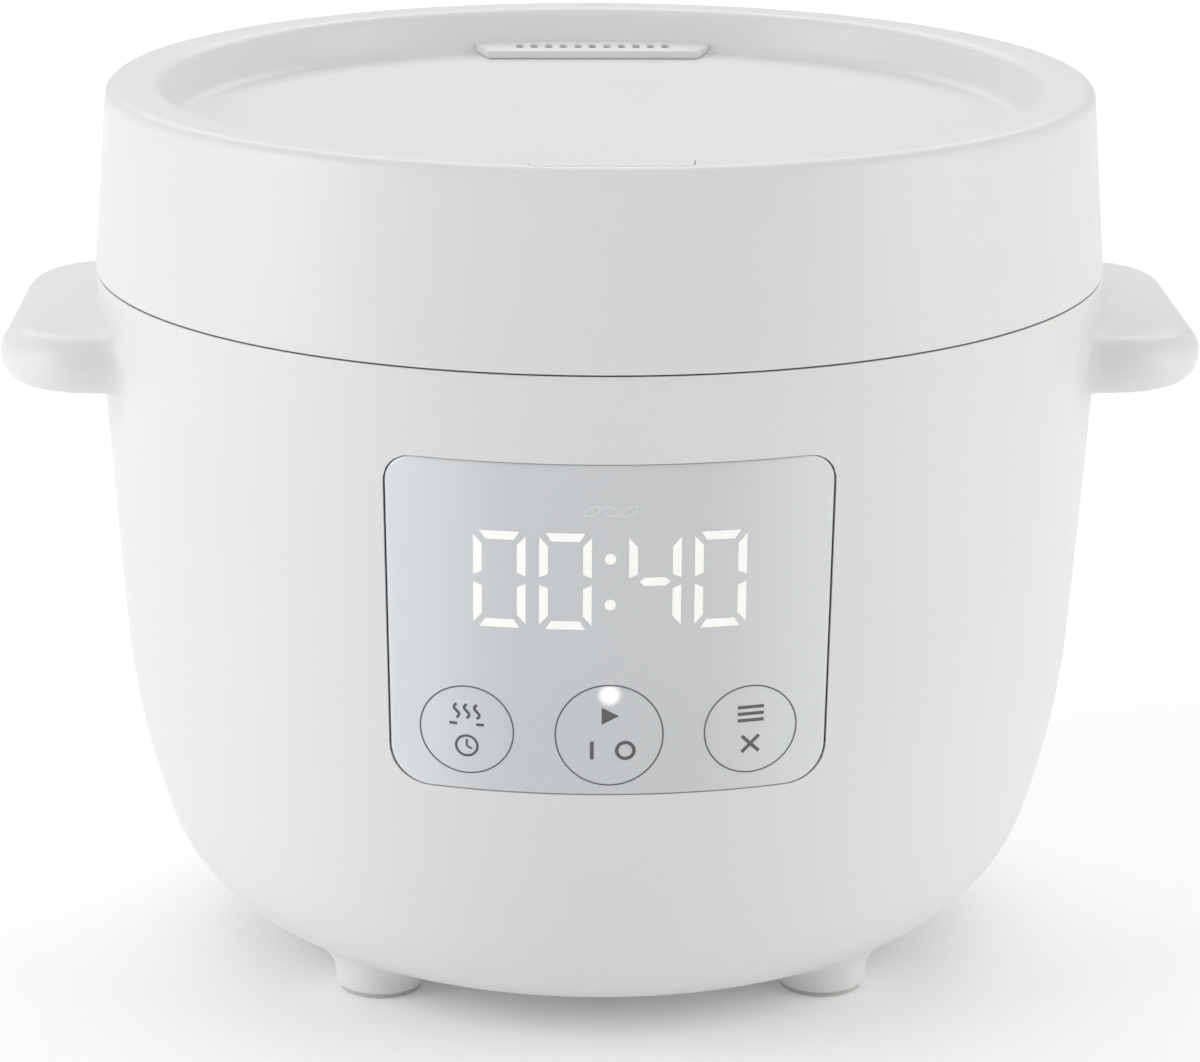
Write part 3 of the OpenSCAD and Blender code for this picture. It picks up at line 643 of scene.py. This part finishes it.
def mixed(tree, share, under, over):
    """The colour under with a constant colour over it, by share."""
    node = tree.nodes.new("ShaderNodeMix")
    node.data_type = "RGBA"
    tree.links.new(share, node.inputs["Factor"])
    tree.links.new(under, node.inputs["A"])
    node.inputs["B"].default_value = (*over, 1)
    return node.outputs["Result"]


def bump(tree, shader, value, strength, height):
    node = tree.nodes.new("ShaderNodeBump")
    node.inputs["Strength"].default_value = strength
    node.inputs["Distance"].default_value = height
    tree.links.new(value, node.inputs["Height"])
    tree.links.new(node.outputs["Normal"], shader.inputs["Normal"])


def plain(name, dark, light, rough, grain=900.0, grain_depth=0.00003, patch=9.0, metal=0.0, specular=0.5,
          coat=0.0, stretch=(1, 1, 1)):
    """A surface with soft colour patches, uneven gloss and a fine grain."""
    made, tree, shader = blank_material(name)
    tree.links.new(tinted(tree, noise(tree, patch, 2.0), dark, light), shader.inputs["Base Color"])
    gloss = remap(tree, noise(tree, grain * 0.3, 2.0, stretch), NOISE_SPAN, rough)
    tree.links.new(gloss, shader.inputs["Roughness"])
    bump(tree, shader, noise(tree, grain, 2.0, stretch), 0.25, grain_depth)
    shader.inputs["Metallic"].default_value = metal
    shader.inputs["Specular IOR Level"].default_value = specular
    shader.inputs["Coat Weight"].default_value = coat
    shader.inputs["Coat Roughness"].default_value = 0.08
    return made


def speckled_material():
    """Dark non-stick coating with pale mineral specks."""
    made, tree, shader = blank_material("pot_coating")
    coords = tree.nodes.new("ShaderNodeTexCoord")
    cells = tree.nodes.new("ShaderNodeTexVoronoi")
    cells.inputs["Scale"].default_value = 420.0
    tree.links.new(coords.outputs["Object"], cells.inputs["Vector"])
    fleck = remap(tree, cells.outputs["Distance"], (0.16, 0.10))
    coating = tinted(tree, noise(tree, 25.0), (0.035, 0.036, 0.038), (0.055, 0.056, 0.058))
    tree.links.new(mixed(tree, fleck, coating, (0.32, 0.32, 0.31)), shader.inputs["Base Color"])
    tree.links.new(remap(tree, noise(tree, 260.0), NOISE_SPAN, (0.28, 0.40)), shader.inputs["Roughness"])
    bump(tree, shader, noise(tree, 700.0), 0.3, 0.00004)
    return made


def glow(name, colour, strength, body_colour=(0.9, 0.9, 0.88)):
    """A lit light guide, a little uneven over its area."""
    made, tree, shader = blank_material(name)
    shader.inputs["Base Color"].default_value = (*body_colour, 1)
    shader.inputs["Roughness"].default_value = 0.3
    tree.links.new(tinted(tree, noise(tree, 160.0), tuple(c * 0.94 for c in colour), colour),
                   shader.inputs["Emission Color"])
    shader.inputs["Emission Strength"].default_value = strength
    return made


def lens_material():
    """Glossy light grey lens, painted paler towards its sides as a reflection of the side soft boxes, with a
    soft halo around the status light.
    """
    made, tree, shader = blank_material("panel_lens")
    coords = tree.nodes.new("ShaderNodeTexCoord")
    axes = tree.nodes.new("ShaderNodeSeparateXYZ")
    tree.links.new(coords.outputs["Object"], axes.inputs["Vector"])
    sideways = tree.nodes.new("ShaderNodeMath")
    sideways.operation = "ABSOLUTE"
    tree.links.new(axes.outputs["X"], sideways.inputs[0])
    # Painted reflection: the lens colour lightens towards its left and right sides, standing in for the side
    # soft boxes' reflection
    painted_side_reflection = remap(tree, sideways.outputs["Value"], (0.016, 0.040), interpolation="SMOOTHSTEP")
    middle = tinted(tree, noise(tree, 14.0, 2.0), (0.618, 0.640, 0.661), (0.645, 0.664, 0.682))
    tree.links.new(mixed(tree, painted_side_reflection, middle, (0.74, 0.765, 0.785)), shader.inputs["Base Color"])
    tree.links.new(remap(tree, noise(tree, 60.0), NOISE_SPAN, (0.10, 0.14)), shader.inputs["Roughness"])
    bump(tree, shader, noise(tree, 300.0), 0.05, 0.00001)
    shader.inputs["Coat Weight"].default_value = 0.6
    shader.inputs["Coat Roughness"].default_value = 0.04
    away = tree.nodes.new("ShaderNodeVectorMath")
    away.operation = "DISTANCE"
    away.inputs[1].default_value = (0.0, -body_radius(LIGHT_Z) * MM, LIGHT_Z * MM)
    tree.links.new(coords.outputs["Object"], away.inputs[0])
    halo = remap(tree, away.outputs["Value"], (0.0008, 0.0030), (0.55, 0.0), "SMOOTHERSTEP")
    shader.inputs["Emission Color"].default_value = (1.0, 0.98, 0.96, 1)
    tree.links.new(halo, shader.inputs["Emission Strength"])
    return made


def make_materials():
    """One finish for each material slot of the record, and two for the print."""
    return {
        "shell_plastic": plain("shell_plastic", (0.775, 0.775, 0.772), (0.800, 0.800, 0.797),
                               (0.36, 0.44), 1400.0),
        "inner_plastic": plain("inner_plastic", (0.60, 0.61, 0.62), (0.64, 0.65, 0.66), (0.38, 0.48)),
        "base_plastic": plain("base_plastic", (0.70, 0.70, 0.70), (0.74, 0.74, 0.74), (0.45, 0.55), 1100.0),
        "panel_lens": lens_material(),
        "lit_segment": glow("lit_segment", (1.0, 0.985, 0.93), 0.20),
        "status_light": glow("status_light", (1.0, 0.99, 0.97), 2.2),
        "dark_plastic": plain("dark_plastic", (0.020, 0.020, 0.022), (0.032, 0.032, 0.035), (0.40, 0.52)),
        "rubber": plain("rubber", (0.50, 0.50, 0.49), (0.58, 0.58, 0.57), (0.62, 0.76), 1600.0, 0.00006),
        "silicone": plain("silicone", (0.62, 0.64, 0.65), (0.68, 0.70, 0.71), (0.42, 0.55), 500.0),
        "steel": plain("steel", (0.48, 0.49, 0.50), (0.56, 0.57, 0.58), (0.22, 0.34), 800.0, metal=1.0),
        "galvanised_steel": plain("galvanised_steel", (0.42, 0.44, 0.46), (0.58, 0.60, 0.62), (0.30, 0.48),
                                  600.0, patch=90.0, metal=1.0),
        "aluminium": plain("aluminium", (0.66, 0.67, 0.68), (0.72, 0.73, 0.74), (0.28, 0.34), 1200.0,
                           0.000004, metal=1.0),
        "cast_aluminium": plain("cast_aluminium", (0.42, 0.43, 0.44), (0.52, 0.53, 0.54), (0.34, 0.52),
                                700.0, metal=1.0),
        "heater_tube": plain("heater_tube", (0.10, 0.09, 0.09), (0.18, 0.15, 0.13), (0.45, 0.6), 500.0,
                             metal=0.8),
        "pot_coating": speckled_material(),
        "circuit_board": plain("circuit_board", (0.02, 0.10, 0.045), (0.03, 0.14, 0.06), (0.22, 0.32), 400.0),
        "component_blue": plain("component_blue", (0.02, 0.09, 0.30), (0.03, 0.11, 0.36), (0.25, 0.35)),
        "component_yellow": plain("component_yellow", (0.55, 0.42, 0.06), (0.66, 0.50, 0.08), (0.4, 0.5)),
        "wire_red": plain("wire_red", (0.30, 0.03, 0.02), (0.38, 0.04, 0.03), (0.5, 0.6)),
        "fuse_body": plain("fuse_body", (0.50, 0.42, 0.28), (0.58, 0.50, 0.34), (0.4, 0.5)),
        "ribbon": plain("ribbon", (0.26, 0.28, 0.30), (0.32, 0.34, 0.36), (0.4, 0.5), stretch=(8, 1, 1)),
        "brass": plain("brass", (0.55, 0.42, 0.20), (0.64, 0.50, 0.26), (0.2, 0.3), metal=1.0),
        "print": plain("print", (0.105, 0.105, 0.112), (0.125, 0.125, 0.132), (0.35, 0.45)),
        "faint_print": glow("faint_print", (1.0, 1.0, 1.0), 0.08, (0.66, 0.68, 0.69)),
    }


def dress_frame(materials):
    """Gives every CAD node its own slot's material."""
    for part in frame["record"]["subparts"]:
        piece = frame["nodes"][part["node"]]
        piece.data.materials.clear()
        piece.data.materials.append(materials[part["material_slot"]])


# ---------------------------------------------------------------- shells

def front(p):
    return p[:, 1] < -60


def rear(p):
    return p[:, 1] > 60


def rim(p):
    return front(p) & (p[:, 2] > 175) & (np.hypot(p[:, 0], p[:, 1]) < 105)


def rear_skirt(p):
    return rear(p) & (np.hypot(p[:, 0], p[:, 1]) > 100)


def box_outline(x, z0, z1):
    """A box, 2 x wide, in the view from the front or rear."""
    return resample(np.array([(-x, z0), (x, z0), (x, z1), (-x, z1)], float), 1.5)


def body_shell(materials):
    """The body's wall with its openings, then the boss, the handles and the feet that blend into it."""
    white = materials["shell_plastic"]
    verts, quads = revolve(BODY_PATH + [(BASE_OPEN_R, BASE_Z, -90.0)])
    cuts = ((panel_outline(0), front), (box_outline(*KNUCKLE_CUT), rear), (box_outline(*INLET_CUT), rear))
    for outline, region in cuts:
        verts, quads, _ = cut(verts, quads, outline, front_flat, front_lift, region)
    make_object("body_wall", verts, quads, white, "root", "shell_plastic", replaces=["body_shell"],
                thickness=WALL)
    make_object("inlet_boss", *boss_patch(), white, "root", "shell_plastic", replaces=["body_shell"])
    for side, node in ((-1, "handle_left"), (1, "handle_right")):
        make_object(node + "_grip", *handle_patch(side), white, "root", "shell_plastic", replaces=[node])
    for i, (sx, sy) in enumerate(((-1, -1), (-1, 1), (1, -1), (1, 1))):
        make_object(f"foot_{i + 1}", *foot_patch(sx, sy), white, "root", "shell_plastic",
                    replaces=[f"foot_post_{i + 1}"])


def pipe_circle(r):
    """A circle around the steam pipe, in plan."""
    turn = np.linspace(0, 2 * math.pi, PIPE_SIDES, endpoint=False)
    return np.column_stack([r * np.cos(turn), PIPE_Y + r * np.sin(turn)])


def sleeve(radii, z0, z1):
    """A plain sleeve around the steam pipe's axis."""
    inner, outer = radii
    return tube([np.column_stack([pipe_circle(r), np.full(PIPE_SIDES, z)])
                 for r, z in ((inner, z0), (outer, z0), (outer, z1), (inner, z1))])


def button_outline(grow):
    """The release button in plan, round at its front corners."""
    half = BUTTON_HALF_W + grow
    y0, y1 = BUTTON_Y[0] - grow, BUTTON_Y[1] + grow
    r0, r1 = BUTTON_FRONT_R + grow, BUTTON_REAR_R
    corners = [(half - r1, y1 - r1, r1, 0, 90), (r1 - half, y1 - r1, r1, 90, 180),
               (r0 - half, y0 + r0, r0, 180, 270), (half - r0, y0 + r0, r0, 270, 360)]
    return resample(rounded_outline(corners, 6), 1.2)


def lid_shell(materials):
    """The lid's outside and dish, cut for the button, the hinge and the steam pipe."""
    verts, quads = revolve(LID_PATH)
    cuts = ((button_outline(BUTTON_GAP), plan_flat, plan_lift, rim),
            (box_outline(*LID_HINGE_CUT), front_flat, skirt_lift, rear_skirt),
            (pipe_circle(PIPE_R[0]), plan_flat, plan_lift, lambda p: p[:, 2] > FLOOR_Z - 0.1))
    for outline, flat, lift, region in cuts:
        verts, quads, _ = cut(verts, quads, outline, flat, lift, region)
    make_object("lid_cover", verts, quads, materials["shell_plastic"], "lid", "shell_plastic",
                replaces=["lid_shell", "lid_dish"], thickness=LID_WALL)


def release_button(materials):
    """The piece of the rim inside the button's outline, closed down to its foot."""
    verts, quads = revolve(LID_PATH)
    verts, kept, edges = cut(verts, quads, button_outline(0), plan_flat, plan_lift, rim, keep_inside=True)
    below = {v: len(verts) + i for i, v in enumerate(sorted({v for e in edges for v in e}))}
    lower = verts[list(below)] * (1, 1, 0) + (0, 0, BUTTON_FOOT_Z)
    verts = np.concatenate([verts, lower, [lower.mean(0)]])
    faces = [list(q) for q in kept]
    for a, b in edges:
        faces.append([b, a, below[a], below[b]])
        faces.append([below[b], below[a], len(verts) - 1])
    make_object("release_tab", verts, faces, materials["shell_plastic"], "release_button",
                "shell_plastic", replaces=["release_button"])


def panel_lens(materials):
    """The curved lens, in rings from its middle to its rounded edge and then its back, and a dark strip in
    the gap around it as painted shade.
    """
    middle = np.array([0.0, (PANEL_Z[0] + PANEL_Z[1]) / 2])
    edge = resample(panel_outline(-PANEL_GAP), 1.5) * (1 - (PANEL_SIDE_GAP - PANEL_GAP) / PANEL_HALF_W, 1)
    outward = unit(edge - nearest(edge, panel_outline(-PANEL_GAP - 1.0)))

    def wrap(q, depth):
        r = body_radius(q[:, 1]) - depth
        return np.stack([q[:, 0], -np.sqrt(r * r - q[:, 0] ** 2), q[:, 1]], 1)

    def ring(inset, depth, shrink=1.0):
        return wrap(middle + (edge - outward * inset - middle) * shrink, depth)

    rings = [ring(0.5, 0.02, s) for s in np.linspace(0.02, 1, 30)]
    rings += [ring(0.25, 0.08), ring(0.08, 0.22), ring(0.0, 0.5), ring(0.0, LENS_T)]
    rings += [ring(0.0, LENS_T, s) for s in np.linspace(0.95, 0.1, 8)]
    verts, faces = tube(rings, (0, -body_radius(middle[1]) + 0.02, middle[1]))
    make_object("panel_lens", verts, faces, materials["panel_lens"], "root", "panel_lens",
                replaces=["control_panel"])

    # Painted shade: a dark strip fills the gap between the lens and the window so that the gap reads dark
    clear = 0.02
    outer = nearest(edge + outward * 0.6, panel_outline(0)) - outward * clear
    inner = edge + outward * clear
    top, low = GAP_SHADE_DEPTH
    gap_shade = [wrap(outer, top), wrap(inner, top), wrap(inner, low), wrap(outer, low)]
    make_object("panel_gap_shade", *tube(gap_shade), materials["dark_plastic"], "root", "dark_plastic",
                replaces=["control_panel"])


# ---------------------------------------------------------------- display and print

# The lit segments of each numeral, from 0 to 9
LIT = ["abcdef", "bc", "abged", "abgcd", "fgbc", "afgcd", "afgedc", "abc", "abcdefg", "abcdfg"]


def segment(letter):
    """Outline of one segment around the digit's centre."""
    x1 = DIGIT_W / 2
    x0 = x1 - SEGMENT_T
    z1 = DIGIT_H / 2
    z0 = z1 - SEGMENT_T
    upright = [(x1, 0.75), (x1, z1 - 0.85), (x0, z1 - 2.75), (x0, 1.5)]
    level = [(1.25 - x1, z1), (x1 - 1.25, z1), (x1 - 2.35, z0), (2.35 - x1, z0)]
    half = x1 - 2.1
    h = SEGMENT_T / 2
    middle = [(-half, 0), (1 - half, h), (half - 1, h), (half, 0), (half - 1, -h), (1 - half, -h)]
    signs = {"a": (1, 1), "b": (1, 1), "c": (1, -1), "d": (1, -1), "e": (-1, -1), "f": (-1, 1), "g": (1, 1)}
    shape = level if letter in "ad" else middle if letter == "g" else upright
    return [(signs[letter][0] * x, signs[letter][1] * z) for x, z in shape]


def disc_outline(cx, cz, r, count=28):
    return [(cx + r * math.cos(a), cz + r * math.sin(a))
            for a in np.linspace(0, 2 * math.pi, count, endpoint=False)]


def stroke(points, width, closed=False):
    """Quads along a line of the given width."""
    p = np.array(points, float)
    ahead = (np.roll(p, -1, axis=0) if closed else np.vstack([p[1:], 2 * p[-1] - p[-2]])) - p
    behind = p - (np.roll(p, 1, axis=0) if closed else np.vstack([2 * p[0] - p[1], p[:-1]]))
    way = unit(unit(ahead) + unit(behind))
    side = np.column_stack([-way[:, 1], way[:, 0]]) * width / 2
    left, right = p + side, p - side
    pairs = [(i, (i + 1) % len(p)) for i in range(len(p) if closed else len(p) - 1)]
    return [[tuple(left[a]), tuple(right[a]), tuple(right[b]), tuple(left[b])] for a, b in pairs]


def lay_on_lens(name, shapes, finish, slot, proud, depth, replaces=(), cuts=0):
    """Makes flat (x, z) outlines into thin solids that follow the curve of the lens."""
    work = bmesh.new()
    for shape in shapes:
        corners = [work.verts.new((x, 0, z)) for x, z in shape]
        work.faces.new(corners)
    bmesh.ops.remove_doubles(work, verts=work.verts, dist=1e-5)
    if cuts:
        bmesh.ops.triangulate(work, faces=work.faces)
        bmesh.ops.subdivide_edges(work, edges=work.edges, cuts=cuts, use_grid_fill=True)
    grown = bmesh.ops.extrude_face_region(work, geom=work.faces[:])
    back = {v for v in grown["geom"] if isinstance(v, bmesh.types.BMVert)}
    for v in work.verts:
        r = float(body_radius(v.co.z)) + (proud - depth if v in back else proud)
        v.co.y = -math.sqrt(r * r - v.co.x ** 2)
    bmesh.ops.recalc_face_normals(work, faces=work.faces)
    index = {v: i for i, v in enumerate(work.verts)}
    verts = np.array([v.co[:] for v in work.verts])
    faces = [[index[v] for v in f.verts] for f in work.faces]
    work.free()
    make_object(name, verts, faces, finish, "root", slot, replaces=replaces, crease=40)


def display(materials):
    """The lit digits with their colon, and the status light."""
    shapes = [[(DIGIT_X[i] + x, DIGIT_Z + z) for x, z in segment(letter)]
              for i, value in enumerate(SHOWN) for letter in LIT[int(value)]]
    shapes += [disc_outline(0, DIGIT_Z + z, DOT_R) for z in COLON_Z]
    lay_on_lens("display_digits", shapes, materials["lit_segment"], "lit_segment", LIT_PROUD, LIT_DEPTH,
                replaces=["lit_segments"], cuts=3)
    lay_on_lens("status_lamp", [disc_outline(0, LIGHT_Z, DOT_R)], materials["status_light"], "status_light",
                LIT_PROUD, LIT_DEPTH, replaces=["status_light"], cuts=1)


def ring_line(cx, cz, r, width):
    """A circle drawn as a line."""
    return stroke(disc_outline(cx, cz, r, 72), width, True)


def key_symbols():
    """Plain symbols for the keys: warm and timer, start with on and off, menu and cancel."""
    shapes = []
    for x, r in zip(KEY_X, KEY_R):
        shapes += ring_line(x, KEY_Z, r, 0.28)
    left, middle, right = KEY_X
    for dx in (-2.0, 0.0, 2.0):
        wave = [(left + dx + 0.5 * math.sin(t * 2 * math.pi), KEY_Z + 2.4 + 3.0 * t)
                for t in np.linspace(0, 1, 13)]
        shapes += stroke(wave, 0.55)
    shapes += stroke([(left - 3.4, KEY_Z + 1.2), (left + 3.4, KEY_Z + 1.2)], 0.6)
    shapes += ring_line(left, KEY_Z - 3.4, 2.1, 0.5)
    shapes += stroke([(left, KEY_Z - 2.0), (left, KEY_Z - 3.4), (left + 1.0, KEY_Z - 4.0)], 0.45)
    shapes.append([(middle - 1.5, KEY_Z + 5.9), (middle - 1.5, KEY_Z + 2.3), (middle + 1.9, KEY_Z + 4.1)])
    shapes += stroke([(middle - 3.4, KEY_Z - 1.3), (middle - 3.4, KEY_Z - 5.1)], 0.75)
    shapes += ring_line(middle + 3.2, KEY_Z - 3.2, 1.7, 0.7)
    for dz in (1.9, 3.3, 4.7):
        shapes += stroke([(right - 2.6, KEY_Z + dz), (right + 2.6, KEY_Z + dz)], 0.7)
    for s in (-1, 1):
        shapes += stroke([(right - 1.7, KEY_Z - 3.1 - 1.7 * s), (right + 1.7, KEY_Z - 3.1 + 1.7 * s)], 0.7)
    return shapes


def grain_symbol():
    """A faint row of three rice grains above the digits."""
    shapes = []
    for x, lean in ((-3.6, 25.0), (0.0, -18.0), (3.6, 30.0)):
        c, s = math.cos(math.radians(lean)), math.sin(math.radians(lean))
        oval = [(1.7 * u, 0.75 * v) for u, v in disc_outline(0, 0, 1.0, 32)]
        shapes += stroke([(x + u * c - v * s, GRAIN_Z + u * s + v * c) for u, v in oval], 0.26, True)
    return shapes


def printed(materials):
    """The key rings with their symbols, and the faint grains."""
    lay_on_lens("key_symbols", key_symbols(), materials["print"], "panel_lens", PRINT_PROUD, PRINT_DEPTH)
    lay_on_lens("grain_symbol", grain_symbol(), materials["faint_print"], "lit_segment",
                PRINT_PROUD, PRINT_DEPTH)


# ---------------------------------------------------------------- small covers

def slab(name, outlines, z0, z1, edge, finish, body, slot, replaces=(), shape=None):
    """A plate with rounded edges from flat outlines; the first is its rim and the others are holes."""
    curve = bpy.data.curves.new(name, "CURVE")
    curve.dimensions = "2D"
    curve.fill_mode = "BOTH"
    for points in outlines:
        spline = curve.splines.new("POLY")
        spline.points.add(len(points) - 1)
        spline.use_cyclic_u = True
        for p, q in zip(spline.points, points):
            p.co = (q[0] * MM, q[1] * MM, 0, 1)
    curve.extrude = (z1 - z0 - 2 * edge) / 2 * MM
    curve.bevel_depth = edge * MM
    curve.offset = -edge * MM
    curve.bevel_resolution = 3
    holder = bpy.data.objects.new(name + "_outline", curve)
    bpy.context.scene.collection.objects.link(holder)
    graph = bpy.context.evaluated_depsgraph_get()
    graph.update()
    mesh = bpy.data.meshes.new_from_object(holder.evaluated_get(graph))
    verts = np.array([v.co[:] for v in mesh.vertices]) / MM + (0, 0, (z0 + z1) / 2)
    faces = [list(f.vertices) for f in mesh.polygons]
    bpy.data.objects.remove(holder)
    bpy.data.curves.remove(curve)
    bpy.data.meshes.remove(mesh)
    if shape:
        verts = shape(verts)
    make_object(name, verts, faces, finish, body, slot, replaces=replaces)


def rect(cx, cy, w, h, r):
    """A rectangle with round corners."""
    x, y = w / 2 - r, h / 2 - r
    return rounded_outline([(cx + x, cy + y, r, 0, 90), (cx - x, cy + y, r, 90, 180),
                            (cx - x, cy - y, r, 180, 270), (cx + x, cy - y, r, 270, 360)], 4)


def vent_cover(materials):
    """The removable steam cover that fills the back of the dish."""
    white = materials["shell_plastic"]
    back = [(VENT_BACK_R * math.sin(a), VENT_BACK_R * math.cos(a))
            for a in np.radians(np.linspace(VENT_BACK_ANGLE, -VENT_BACK_ANGLE, 41))]
    front_edge = [(-VENT_HALF_W, VENT_FRONT_Y), (VENT_HALF_W, VENT_FRONT_Y)]
    rim_line = resample(np.array(front_edge + back), 1.5)
    holes = [rect(SLOT_PITCH * i, SLOT_Y, *SLOT_SIZE, 0.75) for i in range(-5, 6)]
    wall = np.array([(q[0], q[1]) for q in LID_PATH if q[1] < RIM_Z - 1 and 80 < q[0] < 95][::-1])

    def fit(verts):
        r = np.hypot(verts[:, 0], verts[:, 1])
        limit = np.interp(verts[:, 2], wall[:, 1], wall[:, 0]) - 0.12
        limit = np.where(verts[:, 2] <= FLOOR_Z + 0.05, 88.2, limit)
        verts[:, :2] *= np.minimum(1, limit / r)[:, None]
        return verts

    slab("steam_cover", [rim_line] + holes, FLOOR_Z + 0.05, FLOOR_Z + VENT_T, 0.45, white, "vent_cover",
         "shell_plastic", replaces=["vent_cover"], shape=fit)
    make_object("steam_spigot", *sleeve(SPIGOT_R, FLOOR_Z - SPIGOT_DEPTH, FLOOR_Z + 0.5), white, "vent_cover",
                "shell_plastic", replaces=["vent_cover"])
    make_object("steam_pipe", *sleeve(PIPE_R, PIPE_BOTTOM_Z, FLOOR_Z - LID_WALL + 0.2), white, "lid",
                "shell_plastic", replaces=["lid_dish"])


def hinge_lugs(materials):
    """The body's two lugs at the back that hold the hinge pin, and the lid's knuckle between them."""
    white = materials["shell_plastic"]
    y, z, r = HINGE_Y, HINGE_Z, KNUCKLE_R
    profile = [(y - r, LUG_Z[0]), (y, LUG_Z[0]), (y + r, LUG_Z[1])]
    profile += [(y + r * math.cos(a), z + r * math.sin(a)) for a in np.linspace(0, math.pi, 17)]

    def turned(x_middle):
        def place(verts):
            return np.column_stack([verts[:, 2] + x_middle, verts[:, 0], verts[:, 1]])
        return place

    for name, x_middle in (("hinge_lug_left", -LUG_X), ("hinge_lug_right", LUG_X)):
        slab(name, [profile], -LUG_HALF_W, LUG_HALF_W, 0.6, white, "root", "shell_plastic",
             replaces=["body_shell"], shape=turned(x_middle))
    for name, outline, edge in (("lid_knuckle", disc_outline(y, z, r, 40), 0.6),
                                ("lid_knuckle_arm", rect(100.0, 152.5, 12.0, 3.8, 0.8), 0.5)):
        slab(name, [outline], -KNUCKLE_HALF_W, KNUCKLE_HALF_W, edge, white, "lid", "shell_plastic",
             replaces=["lid_shell"], shape=turned(0.0))


def hinge_pocket(materials):
    """The walls that close the lid behind the hinge."""
    white = materials["shell_plastic"]

    def upright(verts):
        return np.column_stack([verts[:, 0], verts[:, 2], verts[:, 1]])

    slab("hinge_pocket_wall", [rect(0, 157.5, 62.0, 15.0, 0.5)], 94.6, 97.0, 0.3, white, "lid",
         "shell_plastic", replaces=["lid_shell"], shape=upright)
    slab("hinge_pocket_roof", [rect(0, 98.6, 62.0, 7.8, 0.3)], 161.6, 163.6, 0.3, white, "lid",
         "shell_plastic", replaces=["lid_shell"])


def inner_pot(materials):
    """The coated pot with its rolled flange."""
    outer, corner, wall, bottom, flange = 82.0, 24.0, 1.8, 58.0, 145.2
    path = [(0.0, bottom, -90.0)]
    line(path, outer - corner, bottom, 6.0)
    arc(path, corner, 0.0, 2.5)
    line(path, outer, flange - 0.8, 6.0)
    arc(path, -0.8, -90.0, 1.0)
    line(path, 88.6, flange, 2.0)
    arc(path, 0.8, 90.0, 0.4)
    line(path, outer + 2.2, flange + 1.6, 2.0)
    arc(path, 4.0, 180.0, 0.8)
    line(path, outer - wall, bottom + corner, 6.0)
    path.append((outer - wall, bottom + corner, 0.0))
    inner = corner - wall
    for a in np.radians(np.linspace(0, -90, 17)[1:]):
        path.append((outer - corner + inner * math.cos(a), bottom + corner + inner * math.sin(a), 0))
    line(path, 0.0, bottom + wall, 6.0)
    verts, quads = revolve(path, 144)
    make_object("cooking_pot", verts, quads, materials["pot_coating"], "root", "pot_coating",
                replaces=["inner_pot"])


# ---------------------------------------------------------------- stage

def add_camera():
    """The camera on its circle around the object, a little turned and rolled as in the view wanted."""
    camera = bpy.data.objects.new("camera", bpy.data.cameras.new("camera"))
    camera.data.lens = CAMERA_LENS
    camera.data.sensor_width = SENSOR_WIDTH
    camera.data.clip_start = 0.05
    turn = math.radians(CAMERA_TURN)
    x, y = CAMERA_SIDE, -CAMERA_DISTANCE
    camera.location = ((x * math.cos(turn) - y * math.sin(turn)) * MM,
                       (x * math.sin(turn) + y * math.cos(turn)) * MM, CAMERA_HEIGHT * MM)
    aim = Euler((math.radians(90 - CAMERA_PITCH), 0, turn)).to_matrix()
    camera.rotation_euler = (aim @ Matrix.Rotation(math.radians(CAMERA_ROLL), 3, "Z")).to_euler()
    bpy.context.scene.collection.objects.link(camera)
    bpy.context.scene.camera = camera


def add_light(name, place, target, size, power, colour):
    """A soft box at place, turned to face target."""
    data = bpy.data.lights.new(name, "AREA")
    data.shape = "RECTANGLE"
    data.size, data.size_y = size
    data.energy = power
    data.color = colour
    lamp = bpy.data.objects.new(name, data)
    lamp.location = place
    lamp.rotation_euler = (Vector(target) - Vector(place)).to_track_quat("-Z", "Y").to_euler()
    bpy.context.scene.collection.objects.link(lamp)


def add_floor():
    """A pale floor that glows a little, as the lit sweep of a studio does."""
    mesh = bpy.data.meshes.new("floor")
    mesh.from_pydata([(x * FLOOR_HALF, y * FLOOR_HALF, 0) for x, y in ((-1, -1), (1, -1), (1, 1), (-1, 1))],
                     [], [(0, 1, 2, 3)])
    floor = bpy.data.objects.new("floor", mesh)
    bpy.context.scene.collection.objects.link(floor)
    paper = plain("floor", (0.93, 0.93, 0.93), (0.94, 0.94, 0.94), (0.6, 0.7), 300.0, 0.00001)
    shader = paper.node_tree.nodes["Principled BSDF"]
    shader.inputs["Emission Color"].default_value = (1.0, 1.0, 1.0, 1)
    shader.inputs["Emission Strength"].default_value = FLOOR_GLOW
    floor.data.materials.append(paper)


def add_sky():
    """White light from all around, stronger from behind the object than from the front."""
    world = bpy.data.worlds.new("studio")
    bpy.context.scene.world = world
    world.use_nodes = True
    tree = world.node_tree
    sky = tree.nodes["Background"]
    sky.inputs["Color"].default_value = (1.0, 1.0, 1.0, 1)
    coords = tree.nodes.new("ShaderNodeTexCoord")
    axes = tree.nodes.new("ShaderNodeSeparateXYZ")
    tree.links.new(coords.outputs["Generated"], axes.inputs["Vector"])
    fade = remap(tree, axes.outputs["Y"], (-0.8, 0.1), (SKY_FRONT, SKY_BACK), "SMOOTHSTEP")
    tree.links.new(fade, sky.inputs["Strength"])


def add_stage():
    add_floor()
    add_sky()
    for soft_box in SOFT_BOXES:
        add_light(*soft_box)
    bpy.context.scene.view_settings.view_transform = "Standard"


add_camera()
finishes = make_materials()
dress_frame(finishes)
for build in (body_shell, lid_shell, release_button, panel_lens, display, printed, vent_cover, hinge_lugs,
              hinge_pocket, inner_pot):
    build(finishes)
add_stage()
